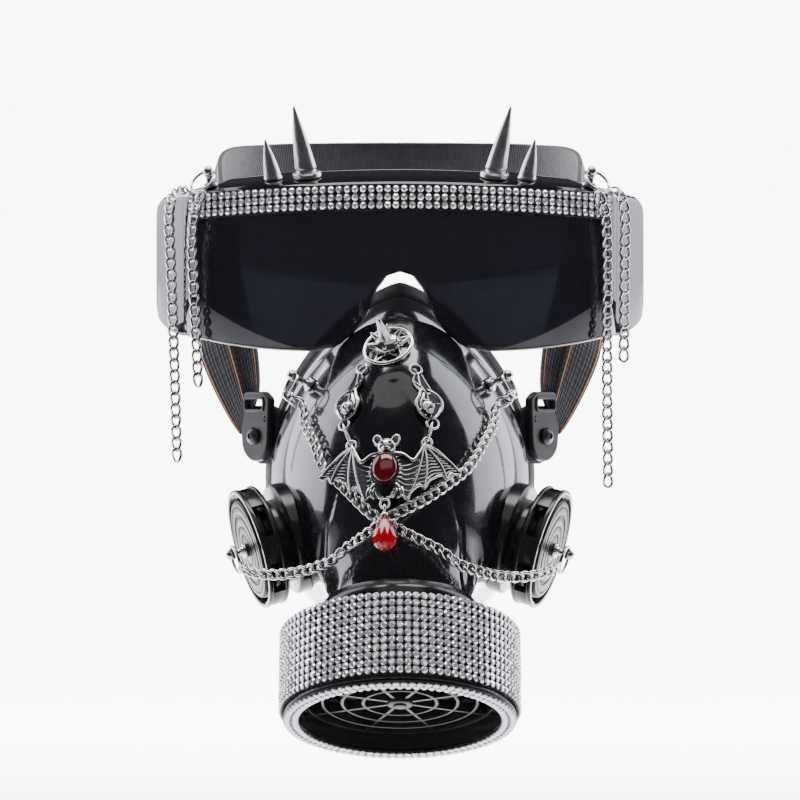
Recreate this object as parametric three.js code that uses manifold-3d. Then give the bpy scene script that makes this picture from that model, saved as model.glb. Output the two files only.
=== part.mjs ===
// Gas mask style costume mask: a tinted wraparound visor over a half mask with one front filter,
// dressed with cone studs, curb chains, rhinestone bands and cast ornaments.
// Millimetres. Seen from the front, X runs to the right, Y runs back through the head and Z is up.
// The origin is the middle of the face opening. Left and right are as seen from the front.

import * as THREE from 'three';
import { mergeVertices } from 'three/addons/utils/BufferGeometryUtils.js';
import Module from 'manifold-3d';

const wasm = await Module();
wasm.setup();

// Driving dimensions

const seatGap = 0.3; // clearance between pieces that rest on each other
const fullTurn = Math.PI * 2;

const visor = {
  lensRadius: 110,
  front: -23.6, // Y of the lens at its middle
  creaseHalf: 75, // half width of the front lens, where the side panels begin
  sideLength: 45,
  sideSplay: THREE.MathUtils.degToRad(18.3),
  wall: 2.2,
  top: 89,
  topDrop: 1.8, // the top edge is this much lower at the creases
  low: 31.4,
  creaseRise: 5.8, // the lower edge rises by this towards the creases
  sideRise: 7,
  notchHalf: 31,
  notchRise: 27.2,
  shelfDepth: 20,
  shelfEndDepth: 4,
  shelfRise: 5.6,
  shoulder: 1.2,
};
// Nose notch edge: across as a share of notchHalf, up as a share of notchRise
const notchEdge = [
  { across: 0, up: 1 },
  { across: 0.15, up: 0.952 },
  { across: 0.271, up: 0.786 },
  { across: 0.355, up: 0.566 },
  { across: 0.449, up: 0.346 },
  { across: 0.57, up: 0.186 },
  { across: 0.748, up: 0.046 },
  { across: 1, up: 0 },
];
const lensStations = [0.54, 0.68, 0.81, 0.92, 1]; // shares of creaseHalf beyond the notch
const sideStations = [0.12, 0.5, 0.93, 1]; // shares of sideLength
const sideCorner = { low: 9, high: 3, share: 0.93 }; // rounding of the side panel's free corners

const trim = { height: 9, thick: 1.5, below: 1.1, stations: 16 };
const temple = { high: 9, thick: 2.6, drop: 20, inset: 1.6, z: 72 };

const spikeBig = { collarRadius: 4.9, collarHeight: 3.4, neckRadius: 3.2, coneRadius: 3.7, height: 25.5 };
const spikeSmall = { collarRadius: 3.2, collarHeight: 0.8, neckRadius: 3.1, coneRadius: 3.1, height: 14.4 };
// Shelf studs: x as a share of creaseHalf, inset from the lens, lean as sideways run
const spikes = [
  { name: 'spike_big_left', x: -0.46, inset: 8, lean: -0.1, form: spikeBig },
  { name: 'spike_big_right', x: 0.4667, inset: 8, lean: 0.14, form: spikeBig },
  { name: 'spike_small_left', x: -0.6333, inset: 8, lean: -0.08, form: spikeSmall },
  { name: 'spike_small_right', x: 0.6333, inset: 8, lean: 0.08, form: spikeSmall },
];

const stud = {
  baseRadius: 2.6, baseHeight: 1.6, postRadius: 1.5, ballRadius: 2, reach: 7.4, valveReach: 5.6,
};
const visorStud = { share: 0.9133, inset: 3.6 }; // share of creaseHalf, inset from the lens
const ring = { radius: 4.7, wire: 0.55 };

const mask = { halfWidth: 46, depth: 60, height: 60, wall: 2.4 };
const maskAngles = 24;
// Loops of the mask from the face opening to the filter port. Each row gives the loop's top, side
// and low points, as shares of mask.depth in Y, mask.height in Z and mask.halfWidth in X. Peak and
// belly shape its upper and lower half, 1 for an ellipse.
const maskColumns = ['topY', 'topZ', 'sideX', 'sideY', 'sideZ', 'lowY', 'lowZ', 'peak', 'belly'];
const maskShares = [
  [-0.2333, 0.8333, 1, 0.2, -0.2333, 0.15, -1.0833, 1.4, 0.7],
  [-0.3833, 0.75, 0.987, 0.0167, -0.25, 0, -1.11, 1.3, 0.72],
  [-0.55, 0.6167, 0.9348, -0.1833, -0.2833, -0.1167, -1.1133, 1.2, 0.76],
  [-0.7167, 0.4583, 0.8565, -0.3667, -0.3333, -0.2, -1.1033, 1.1, 0.8],
  [-0.8417, 0.2583, 0.7739, -0.5167, -0.4167, -0.2667, -1.0933, 1, 0.85],
  [-0.925, 0.0167, 0.687, -0.6417, -0.5167, -0.3167, -1.0833, 0.95, 0.9],
  [-1, -0.25, 0.6087, -0.725, -0.65, -0.3533, -1.0767, 0.95, 0.95],
  [-1.0767, -0.5167, 0.5522, -0.76, -0.7917, -0.3767, -1.075, 1, 1],
];
const maskRows = maskShares.map((shares) => {
  const row = Object.fromEntries(maskColumns.map((column, i) => [column, shares[i]]));
  ['topY', 'sideY', 'lowY'].forEach((column) => { row[column] *= mask.depth; });
  ['topZ', 'sideZ', 'lowZ'].forEach((column) => { row[column] *= mask.height; });
  return { ...row, sideX: row.sideX * mask.halfWidth };
});
const seal = { lip: 8, flare: 2.4, wall: 2.2 };

const filter = {
  tilt: THREE.MathUtils.degToRad(65.5), // of the axis below the horizontal
  faceY: -62,
  faceZ: -91.1,
  radius: 38.4,
  height: 30,
  wall: 4.2,
  backWall: 2.5,
  bandThick: 1.7,
  bandFrom: 1.6,
  bandInset: 0.6, // from the band's rear edge to the filter's back
  rimWidth: 5,
  rimOver: 0.2, // the rim's outer edge stands this far beyond the filter
  rimThick: 1.6,
};
const neck = { radius: 28, length: 9.4, bore: 17, portRadius: 24 };
const grille = { depth: 5, thick: 2, bar: 1.5, hub: 4.2, spokes: 8 };
const grilleRings = [0.357, 0.561, 0.754]; // middle radii, shares of the filter's inner radius

const valve = {
  seatX: 38.2,
  seatY: -16,
  seatZ: -33.5,
  axis: [0.925, -0.276, -0.26],
  flangeRadius: 19.5,
  flangeTop: 3,
  flangeRoot: -9,
  waistRadius: 14.5,
  drumRadius: 21,
  drumFrom: 7.4,
  drumTo: 15,
  drumWall: 1.6,
  floor: 2,
  windows: 6,
  windowWidth: 12,
  discRadius: 17.4,
  discTop: 15.4,
  hub: 5,
};
const discRidges = [0.86, 0.64, 0.42]; // outer radii of the disc's raised rings, shares of discRadius

// out and back are from the side of the mask's rim
const buckle = {
  length: 25, width: 17, thick: 3, out: 3.4, back: 3.5, z: 4.6, turn: 0.86,
  slotWidth: 9, slotHigh: 3, slotDrop: 4.6,
};
const tab = { length: 21, width: 20, thick: 2.4, drop: 3 };
const peg = { radius: 2.2, headRadius: 3.1, height: 5.4, drop: 3.4 };
const strap = { width: 25, thick: 1.8, reach: 181, rise: 106.5, steps: 28 };
// Strap route on one side, from the buckle to the middle of the back: across as a share of
// visor.creaseHalf, back and up as shares of strap.reach and strap.rise
const strapRoute = [
  { across: 0.7312, back: 0.1075, up: 0.1554 },
  { across: 0.82, back: 0.1823, up: 0.338 },
  { across: 0.888, back: 0.2873, up: 0.5822 },
  { across: 0.9467, back: 0.4641, up: 0.8075 },
  { across: 0.9333, back: 0.674, up: 0.9296 },
  { across: 0.72, back: 0.8729, up: 0.9765 },
  { across: 0.3467, back: 0.9724, up: 0.9953 },
  { across: 0, back: 1, up: 1 },
];
const fold = { steps: 3, width: 12, thick: 1.6 };

const charmX = -3.7; // the ornaments hang this far beside the middle
const star = { radius: 8.4, wire: 0.7, bar: 1.1, z: 31.6 };
const dome = {
  radius: 4.8, height: 3.6, spikeRadius: 2.2, spikeTop: 12.5, tipRadius: 0.9, small: 6, smallHeight: 3.2,
};
const leaf = {
  length: 19, width: 9.4, thick: 1.5, skull: 2.6, ring: 2, wire: 0.4, z: 14.6, x: 11.5, lean: 0.3,
};
const bat = {
  halfSpan: 24, thick: 1.5, z: -9.4, sweep: 0.3, bone: 0.8, headRadius: 3.1, bodyLength: 17,
  lift: 4.1, tip: 0.22, tall: 1.12,
  loopAcross: 0.53, loopUp: 0.37, loopRadius: 1.6, tail: 0.72, tailRadius: 1.5, wire: 0.4,
};
const cabochon = { width: 8.4, height: 9.8, rise: 2.8, z: -11 };
const drop = { radius: 4.1, height: 11.4, facets: 10, capHeight: 1.2, eye: 1.2, wire: 0.4, tilt: 0.42 };
const link = { halfWidth: 1.9, wire: 0.34, lift: 0.4 };

// Wing outline of the bat, shares of halfSpan: across from the middle, up from the wing tip's height
const wingEdge = [
  { across: 0.1, up: 0.23 },
  { across: 0.24, up: 0.2 },
  { across: 0.36, up: 0.12 },
  { across: 0.5, up: 0.33 },
  { across: 0.66, up: 0.28 },
  { across: 0.86, up: 0.12 },
  { across: 1, up: 0 },
  { across: 0.9, up: -0.02 },
  { across: 0.81, up: -0.1 },
  { across: 0.68, up: -0.08 },
  { across: 0.52, up: -0.27 },
  { across: 0.42, up: -0.25 },
  { across: 0.3, up: -0.44 },
  { across: 0.16, up: -0.42 },
];
const wingBones = [
  { across: 0.98, up: 0 },
  { across: 0.8, up: -0.1 },
  { across: 0.5, up: -0.26 },
  { across: 0.29, up: -0.42 },
];
const wingPeak = { across: 0.5, up: 0.3 };
// Half outline of a leaf: along its length from the top, and out to each side, as shares of its size
const leafEdge = [
  { along: 0.04, outer: 0.1, inner: 0.1 },
  { along: 0.2, outer: 0.2, inner: 0.26 },
  { along: 0.42, outer: 0.34, inner: 0.12 },
  { along: 0.62, outer: 0.58, inner: 0.42 },
  { along: 0.8, outer: 0.5, inner: 0.4 },
  { along: 0.98, outer: 0.14, inner: 0.14 },
];

// Chosen points of the crossing chains. Rows with lift lie that far in front of the mask, others have y.
const chain = { radius: 1.3, sides: 8, hangRadius: 1.6, stepShare: 0.8 };
const crossingRoutes = {
  chain_upper_left: [
    { x: -32.6, y: -28.9, z: 12 },
    { x: -30.6, z: 6, lift: 2.6 },
    { x: -27.2, z: 0, lift: 2.4 },
    { x: -24.4, z: -8.4, lift: 2.2 },
    { x: -19.4, z: -13.6, lift: 1.8 },
    { x: -14.2, z: -18.8, lift: 1.7 },
    { x: -9, z: -23.8, lift: 1.7 },
    { x: -4, z: -27, lift: 1.8 },
    { x: 1.4, z: -30.2, lift: 1.8 },
    { x: 7, z: -33.2, lift: 1.9 },
    { x: 13, z: -37, lift: 2.6 },
    { x: 19, y: -61.5, z: -40.2 },
    { x: 25.5, y: -57.5, z: -42.6 },
    { x: 32, y: -51.6, z: -44.6 },
    { x: 38.4, y: -47, z: -45.4 },
    { x: 44, y: -44.2, z: -45.2 },
    { x: 48.8, y: -40.6, z: -44.4 },
    { x: 52.4, y: -36, z: -43.6 },
    { x: 54.2, y: -31.2, z: -42.6 },
  ],
  chain_upper_right: [
    { x: 32.6, y: -28.9, z: 12 },
    { x: 30.2, z: 6, lift: 2.6 },
    { x: 26.4, z: -1, lift: 2.4 },
    { x: 21.6, z: -9, lift: 2.2 },
    { x: 15.4, z: -13.8, lift: 1.9 },
    { x: 9.4, z: -18, lift: 2.4 },
    { x: 4, z: -21.6, lift: 3.6 },
    { x: -0.6, z: -24.6, lift: 4.6 },
    { x: -5.6, z: -28, lift: 4.7 },
    { x: -10.8, z: -32.2, lift: 4 },
    { x: -16, z: -35.8, lift: 3 },
    { x: -21.6, y: -59.2, z: -38.6 },
    { x: -28, y: -54.4, z: -41.4 },
    { x: -34, y: -49.6, z: -43.4 },
    { x: -39.6, y: -46.6, z: -44.4 },
    { x: -44.6, y: -43.8, z: -44.6 },
    { x: -49, y: -40.2, z: -44.2 },
    { x: -52.4, y: -35.8, z: -43.5 },
    { x: -54.2, y: -31.2, z: -42.6 },
  ],
};
// Hanging chains: out and back from the lens crease and up from its top edge, the first row from the
// seat of the visor's stud
const hangingRoutes = {
  chain_left_long: [
    { stud: true, out: 7.94, back: -5.25, up: -1.71 },
    { out: 2, back: -3.73, up: 0.4 },
    { out: 5.6, back: 2.47, up: -1.8 },
    { out: 6.8, back: 6.47, up: -8.2 },
    { out: 6.4, back: 7.67, up: -21.2 },
    { out: 5.4, back: 7.67, up: -47.2 },
    { out: 4, back: 7.67, up: -94.8 },
  ],
  chain_left_short: [
    { stud: true, out: 2.54, back: -8.65, up: -2.51 },
    { out: -3.6, back: -9.73, up: -7.2 },
    { out: -2.4, back: -7.53, up: -17.2 },
    { out: -3.1, back: -6.73, up: -37.2 },
    { out: -4.4, back: -6.93, up: -68.2 },
  ],
  chain_right_long: [
    { stud: true, out: 2.54, back: -8.65, up: -2.51 },
    { out: -3.6, back: -9.73, up: -7.2 },
    { out: -2.6, back: -7.53, up: -17.2 },
    { out: -2.6, back: -6.53, up: -47.2 },
    { out: -2.2, back: -6.13, up: -103.2 },
  ],
  chain_right_short: [
    { stud: true, out: 7.74, back: -5.05, up: -1.71 },
    { out: 1.8, back: -4.33, up: -0.6 },
    { out: 4, back: -1.13, up: -6.2 },
    { out: 4.2, back: 0.27, up: -19.2 },
    { out: 3.8, back: 0.87, up: -59.2 },
  ],
};

// Materials

const paint = (color, roughness, metalness) =>
  new THREE.MeshStandardMaterial({ color, roughness, metalness });
const finish = {
  tint: () => paint(0x17171c, 0.08, 0),
  gloss: () => paint(0x0b0b0d, 0.12, 0),
  plastic: () => paint(0x17171a, 0.45, 0),
  rubber: () => paint(0x141414, 0.85, 0),
  nickel: () => paint(0xc9c7c6, 0.2, 1),
  antique: () => paint(0x8f8f92, 0.35, 1),
  stone: () => paint(0xdfe0e4, 0.1, 0.2),
  strap: () => paint(0x1c1a19, 0.9, 0),
  ruby: () => paint(0xa20f1a, 0.06, 0),
};

const model = new THREE.Group();

function addPart(name, geometry, material) {
  geometry.computeVertexNormals();
  const mesh = new THREE.Mesh(geometry, material);
  mesh.name = name;
  model.add(mesh);
}

// Helpers

const vec = (x, y, z) => new THREE.Vector3(x, y, z);
const mix = THREE.MathUtils.lerp;
const sides = [
  { side: 'left', sign: -1 },
  { side: 'right', sign: 1 },
];

function signedVolume(points, index) {
  let volume = 0;
  for (let i = 0; i < index.length; i += 3) {
    const cross = points[index[i + 1]].clone().cross(points[index[i + 2]]);
    volume += points[index[i]].dot(cross) / 6;
  }
  return volume;
}

function closedGeometry(points, index) {
  const facing = signedVolume(points, index) < 0 ? index.slice().reverse() : index;
  const geometry = new THREE.BufferGeometry();
  geometry.setAttribute('position', new THREE.Float32BufferAttribute(points.flatMap((p) => p.toArray()), 3));
  geometry.setIndex(facing);
  return geometry;
}

// Joins loops of equal length into one closed body. An open run ends in a fan to its pole, or in a
// strip across the loop, whose second half runs back along its first.
function skin(loops, { closed = false, startPole = null, endPole = null } = {}) {
  const count = loops[0].length;
  const points = loops.flat();
  const index = [];
  const at = (loop, corner) => (loop % loops.length) * count + (corner % count);
  const spans = closed ? loops.length : loops.length - 1;
  for (let loop = 0; loop < spans; loop += 1) {
    for (let corner = 0; corner < count; corner += 1) {
      index.push(at(loop, corner), at(loop + 1, corner), at(loop + 1, corner + 1));
      index.push(at(loop, corner), at(loop + 1, corner + 1), at(loop, corner + 1));
    }
  }
  const cap = (loop, pole, turned) => {
    const push = (a, b, c) => (turned ? index.push(a, c, b) : index.push(a, b, c));
    if (pole) {
      points.push(pole);
      const tip = points.length - 1;
      for (let corner = 0; corner < count; corner += 1) push(at(loop, corner), at(loop, corner + 1), tip);
      return;
    }
    for (let i = 0; i < count / 2 - 1; i += 1) {
      push(at(loop, i), at(loop, i + 1), at(loop, count - 2 - i));
      push(at(loop, i), at(loop, count - 2 - i), at(loop, count - 1 - i));
    }
  };
  if (!closed) {
    cap(0, startPole, false);
    cap(loops.length - 1, endPole, true);
  }
  return closedGeometry(points, index);
}

function solidOf(geometry) {
  const bare = geometry.clone();
  bare.deleteAttribute('normal');
  bare.deleteAttribute('uv');
  const merged = mergeVertices(bare, 1e-4);
  const mesh = new wasm.Mesh({
    numProp: 3,
    vertProperties: new Float32Array(merged.attributes.position.array),
    triVerts: new Uint32Array(merged.index.array),
  });
  return new wasm.Manifold(mesh);
}

function geometryOf(solid) {
  const mesh = solid.getMesh();
  const geometry = new THREE.BufferGeometry();
  geometry.setAttribute('position', new THREE.Float32BufferAttribute(mesh.vertProperties, 3));
  geometry.setIndex(Array.from(mesh.triVerts));
  return geometry;
}

const fuse = (geometries) => geometryOf(geometries.map(solidOf).reduce((whole, next) => whole.add(next)));
const cut = (geometry, tools) =>
  geometryOf(tools.map(solidOf).reduce((whole, tool) => whole.subtract(tool), solidOf(geometry)));

// Turns a body of revolution, given as [radius, height] rows along its axis, to point along +Z.
function turned(rows, segments) {
  const geometry = new THREE.LatheGeometry(rows.map(([r, h]) => new THREE.Vector2(r, h)), segments);
  return geometry.rotateX(Math.PI / 2);
}

// A frame whose Z is the axis and whose X is as near as possible to the hint.
function frameAt(origin, axis, hint = vec(1, 0, 0)) {
  const z = axis.clone().normalize();
  const x = hint.clone().addScaledVector(z, -hint.dot(z)).normalize();
  const y = z.clone().cross(x);
  return new THREE.Matrix4().makeBasis(x, y, z).setPosition(origin);
}

const boxAt = (dx, dy, dz, x = 0, y = 0, z = 0) => new THREE.BoxGeometry(dx, dy, dz).translate(x, y, z);
const ellipsoid = (rx, ry, rz, across, up) =>
  new THREE.SphereGeometry(1, across, up).rotateX(Math.PI / 2).scale(rx, ry, rz);

function extruded(shape, depth, curveSegments = 6) {
  return new THREE.ExtrudeGeometry(shape, { depth, bevelEnabled: false, curveSegments });
}

// Visor

const lensCentreY = visor.front + visor.lensRadius;
const sideDirection = vec(Math.sin(visor.sideSplay), Math.cos(visor.sideSplay), 0);
const sideNormal = vec(Math.cos(visor.sideSplay), -Math.sin(visor.sideSplay), 0);

function lensPlan(x) {
  const angle = Math.asin(x / visor.lensRadius);
  const normal = vec(Math.sin(angle), -Math.cos(angle), 0);
  return { point: vec(x, lensCentreY - visor.lensRadius * Math.cos(angle), 0), normal };
}

const lensTop = (x) => visor.top - visor.topDrop * (x / visor.creaseHalf) ** 2;

// Half of the visor in plan, from the middle of the lens to the end of the side panel
function visorStations() {
  const rows = notchEdge.map(({ across, up }) => {
    const x = across * visor.notchHalf;
    const low = visor.low + up * visor.notchRise;
    return { ...lensPlan(x), low, high: lensTop(x), depth: visor.shelfDepth };
  });
  lensStations.forEach((share) => {
    const x = share * visor.creaseHalf;
    const beyond = (x - visor.notchHalf) / (visor.creaseHalf - visor.notchHalf);
    const low = visor.low + visor.creaseRise * beyond ** 2;
    rows.push({ ...lensPlan(x), low, high: lensTop(x), depth: visor.shelfDepth });
  });
  const crease = rows[rows.length - 1];
  crease.normal = crease.normal.clone().add(sideNormal).normalize();
  sideStations.forEach((share) => {
    const point = crease.point.clone().addScaledVector(sideDirection, share * visor.sideLength);
    const corner = Math.max(0, (share - sideCorner.share) / (1 - sideCorner.share));
    rows.push({
      point,
      normal: sideNormal.clone(),
      low: crease.low + visor.sideRise * share ** 2 + sideCorner.low * corner,
      high: crease.high - sideCorner.high * corner,
      depth: mix(visor.shelfDepth, visor.shelfEndDepth, Math.min(1, share * 1.6)),
    });
  });
  return rows;
}

const mirrored = (row) => ({
  ...row,
  point: vec(-row.point.x, row.point.y, row.point.z),
  normal: vec(-row.normal.x, row.normal.y, row.normal.z),
});

function visorLoop({ point, normal, low, high, depth }) {
  const at = (inset, z) => point.clone().addScaledVector(normal, -inset).setZ(z);
  const lens = [0, 0.5].map((share) => mix(low, high, share));
  const rise = (share) => high + visor.shelfRise * share * (depth / visor.shelfDepth);
  const outer = [
    ...lens.map((z) => at(0, z)),
    at(0, high - visor.shoulder),
    at(visor.shoulder, high),
    at(depth / 2, rise(0.5)),
    at(depth, rise(1)),
  ];
  const under = [
    ...lens.map((z) => at(visor.wall, z)),
    at(visor.wall, high - visor.shoulder - visor.wall),
    at(visor.wall + visor.shoulder, high - visor.wall),
    at(mix(visor.wall + visor.shoulder, depth, 0.5), rise(0.5) - visor.wall),
    at(depth, rise(1) - visor.wall),
  ];
  return [...outer, ...under.reverse()];
}

function visorShell() {
  const half = visorStations();
  const whole = [...half.slice(1).reverse().map(mirrored), ...half];
  return skin(whole.map(visorLoop));
}

function visorTrim() {
  const loops = [];
  for (let i = 0; i <= trim.stations; i += 1) {
    const x = mix(-visor.creaseHalf, visor.creaseHalf, i / trim.stations) * 0.985;
    const { point, normal } = lensPlan(x);
    const top = lensTop(x) - trim.below;
    const at = (out, z) => point.clone().addScaledVector(normal, out).setZ(z);
    loops.push([
      at(seatGap, top - trim.height),
      at(seatGap, top),
      at(seatGap + trim.thick, top),
      at(seatGap + trim.thick, top - trim.height),
    ]);
  }
  return skin(loops);
}

// Plain arm inside the side panel, dropping behind the ear
function templeArm(sign) {
  const { point: start } = lensPlan(visor.creaseHalf);
  const inward = visor.wall + seatGap + temple.thick / 2;
  const path = [0.3, 0.7, 1.3, 1.9].map((share) => {
    const along = share * visor.sideLength;
    const bend = 1 - THREE.MathUtils.smoothstep(share, 0.7, 1.9) * 0.9;
    const out = sideDirection.x * Math.min(along, visor.sideLength * 0.7);
    return vec(
      start.x + out - inward - (1 - bend) * temple.inset,
      start.y + along,
      temple.z - temple.drop * Math.max(0, share - 1.3) ** 2,
    );
  });
  const loops = path.map((p) => {
    const corner = (dx, dz) => vec(sign * (p.x + dx * temple.thick / 2), p.y, p.z + dz * temple.high / 2);
    return [corner(-1, -1), corner(1, -1), corner(1, 1), corner(-1, 1)];
  });
  return skin(loops);
}

// A point of the shelf's upper face and its normal
function shelfSeat(x, inset) {
  const { point, normal } = lensPlan(x);
  const slope = visor.shelfRise / visor.shelfDepth;
  const seat = point.clone().addScaledVector(normal, -inset).setZ(lensTop(x) + slope * inset);
  return { point: seat, normal: normal.clone().multiplyScalar(slope).add(vec(0, 0, 1)).normalize() };
}

function spike({ x, inset, lean, form }) {
  const rows = [
    [0, 0],
    [form.collarRadius, 0],
    [form.collarRadius, form.collarHeight * 0.55],
    [form.neckRadius, form.collarHeight],
    [form.coneRadius, form.collarHeight * 1.3],
    [form.coneRadius * 0.62, mix(form.collarHeight, form.height, 0.45)],
    [0, form.height],
  ];
  const seat = shelfSeat(x * visor.creaseHalf, inset);
  const origin = seat.point.clone().addScaledVector(seat.normal, seatGap);
  const geometry = turned(rows, 10);
  const shear = new THREE.Matrix4().makeShear(0, 0, 0, 0, lean, 0);
  return geometry.applyMatrix4(shear).applyMatrix4(frameAt(origin, seat.normal));
}

// Mask

const filterAxis = vec(0, -Math.cos(filter.tilt), -Math.sin(filter.tilt));
const filterFace = vec(0, filter.faceY, filter.faceZ);
const alongFilter = (back) => filterFace.clone().addScaledVector(filterAxis, -back);
const neckFrom = filter.height + seatGap;
const portAt = neckFrom + neck.length + seatGap;

function portRow() {
  const centre = alongFilter(portAt);
  const up = vec(0, -Math.sin(filter.tilt), Math.cos(filter.tilt)).multiplyScalar(neck.portRadius);
  const [top, low] = [centre.clone().add(up), centre.clone().sub(up)];
  return {
    topY: top.y, topZ: top.z, sideX: neck.portRadius, sideY: centre.y, sideZ: centre.z,
    lowY: low.y, lowZ: low.z, peak: 1, belly: 1, flat: true,
  };
}

function maskLoop(row) {
  const loop = [];
  for (let i = 0; i < maskAngles; i += 1) {
    const angle = (i / maskAngles) * fullTurn;
    const [sine, cosine] = [Math.sin(angle), Math.cos(angle)];
    const upper = cosine >= 0;
    const bend = upper ? row.peak : row.belly;
    const share = row.flat ? Math.abs(cosine) : cosine ** 2;
    const x = row.sideX * Math.sign(sine) * Math.abs(sine) ** bend;
    const y = mix(row.sideY, upper ? row.topY : row.lowY, share);
    const z = mix(row.sideZ, upper ? row.topZ : row.lowZ, Math.abs(cosine));
    loop.push(vec(x, y, z));
  }
  return loop;
}

const maskLoops = [...maskRows, portRow()].map(maskLoop);

function maskNormal(ringIndex, corner) {
  const before = maskLoops[Math.max(ringIndex - 1, 0)][corner];
  const after = maskLoops[Math.min(ringIndex + 1, maskLoops.length - 1)][corner];
  const loop = maskLoops[ringIndex];
  const left = loop[(corner + maskAngles - 1) % maskAngles];
  const right = loop[(corner + 1) % maskAngles];
  return after.clone().sub(before).cross(right.clone().sub(left)).normalize();
}

// The mask's loops moved out by a distance along the surface normal
const grownMask = (distance) =>
  maskLoops.map((loop, r) => loop.map((p, c) => p.clone().addScaledVector(maskNormal(r, c), distance)));

const outward = Math.sign(maskNormal(3, maskAngles / 4).x);

function maskBody() {
  const inner = grownMask(-outward * mask.wall).reverse();
  const port = alongFilter(portAt);
  inner[0] = maskLoops[maskLoops.length - 1].map((p) => mixPoint(p, port, mask.wall / neck.portRadius));
  return skin([...maskLoops, ...inner], { closed: true });
}

function mixPoint(a, b, share) {
  return a.clone().lerp(b, share);
}

// The mask without its hollow, grown by a clearance, to shape what seats on it
function maskEnvelope(clearance) {
  const loops = grownMask(outward * clearance);
  return skin(loops, { startPole: vec(0, 20, -10), endPole: alongFilter(portAt) });
}

const maskProbe = new THREE.Mesh(maskEnvelope(0), new THREE.MeshBasicMaterial({ side: THREE.DoubleSide }));
maskProbe.geometry.computeVertexNormals();

// The mask's surface straight behind a point of the front view
function maskSeat(x, z) {
  const ray = new THREE.Raycaster(vec(x, -200, z), vec(0, 1, 0));
  const [hit] = ray.intersectObject(maskProbe);
  const normal = hit.face.normal.clone();
  return { point: hit.point, normal: normal.y > 0 ? normal.negate() : normal };
}

// The rubber edge goes on from the mask's rim towards the face, flaring out
function sealSections(clearance) {
  const [rim, next] = maskLoops;
  return rim.map((p, corner) => {
    const back = p.clone().sub(next[corner]).normalize();
    const out = maskNormal(0, corner).multiplyScalar(outward);
    const at = (b, o) => p.clone().addScaledVector(back, b).addScaledVector(out, o);
    return [
      at(seatGap, -seal.wall),
      at(seatGap, clearance),
      at(seal.lip * 0.6, seal.flare * 0.5 + clearance),
      at(seal.lip + clearance, seal.flare * 0.75 + clearance),
      at(seal.lip, seal.flare * 0.75 - seal.wall),
    ];
  });
}

const faceSeal = () => skin(sealSections(0), { closed: true });

// The seal's outer face without its hollow, to shape the tabs that lie on it
function sealEnvelope(clearance) {
  const sections = sealSections(clearance);
  const loops = [1, 2, 3].map((row) => sections.map((section) => section[row]));
  return skin(loops, { startPole: vec(0, 10, -10), endPole: vec(0, 22, -10) });
}

// Filter and its neck

const filterFrame = (back) => frameAt(alongFilter(back), filterAxis.clone().negate());

function filterNeck() {
  const rows = [
    [neck.bore, 0],
    [neck.radius, 0],
    [neck.radius, neck.length * 0.62],
    [neck.portRadius + 1.6, neck.length],
    [neck.bore, neck.length],
    [neck.bore, 0],
  ];
  return turned(rows, 20).applyMatrix4(filterFrame(neckFrom));
}

function filterHousing() {
  const inner = filter.radius - filter.wall;
  const shell = turned([
    [inner, 0],
    [filter.radius, 0],
    [filter.radius, filter.height],
    [neck.bore, filter.height],
    [neck.bore, filter.height - filter.backWall],
    [inner, filter.height - filter.backWall],
    [inner, 0],
  ], 24);
  const rings = grilleRings.map((share) => {
    const radius = share * inner;
    const [near, far] = [grille.depth, grille.depth + grille.thick];
    const [low, high] = [radius - grille.bar / 2, radius + grille.bar / 2];
    return turned([[low, near], [high, near], [high, far], [low, far], [low, near]], 12);
  });
  const middle = grille.depth + grille.thick / 2;
  const hub = turned([[0, grille.depth - 0.6], [grille.hub, grille.depth - 0.6],
    [grille.hub, grille.depth + grille.thick], [0, grille.depth + grille.thick]], 8);
  const reach = inner + filter.wall / 2;
  const spokes = Array.from({ length: grille.spokes }, (_, i) => {
    const bar = boxAt(reach, grille.bar, grille.thick * 0.96, reach / 2, 0, middle);
    return bar.rotateZ(((i + 0.5) / grille.spokes) * fullTurn);
  });
  return fuse([shell, ...rings, hub, ...spokes]).applyMatrix4(filterFrame(0));
}

function filterBand() {
  const [low, high] = [filter.radius + seatGap, filter.radius + seatGap + filter.bandThick];
  const [near, far] = [filter.bandFrom, filter.height - filter.bandInset];
  const rows = [[low, near], [high, near], [high, far], [low, far]];
  return turned([...rows, rows[0]], 28).applyMatrix4(filterFrame(0));
}

function filterRimTrim() {
  const back = -seatGap;
  const front = back - filter.rimThick;
  const outer = filter.radius + filter.rimOver;
  const inner = outer - filter.rimWidth;
  const rows = [[inner, back], [inner, front], [outer, front], [outer, back]];
  return turned([...rows, rows[0]], 28).applyMatrix4(filterFrame(0));
}

// Side valves

const valveAxis = (sign) => vec(sign * valve.axis[0], valve.axis[1], valve.axis[2]).normalize();
const valveFrame = (sign) =>
  frameAt(vec(sign * valve.seatX, valve.seatY, valve.seatZ), valveAxis(sign), vec(0, 0, 1));

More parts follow.
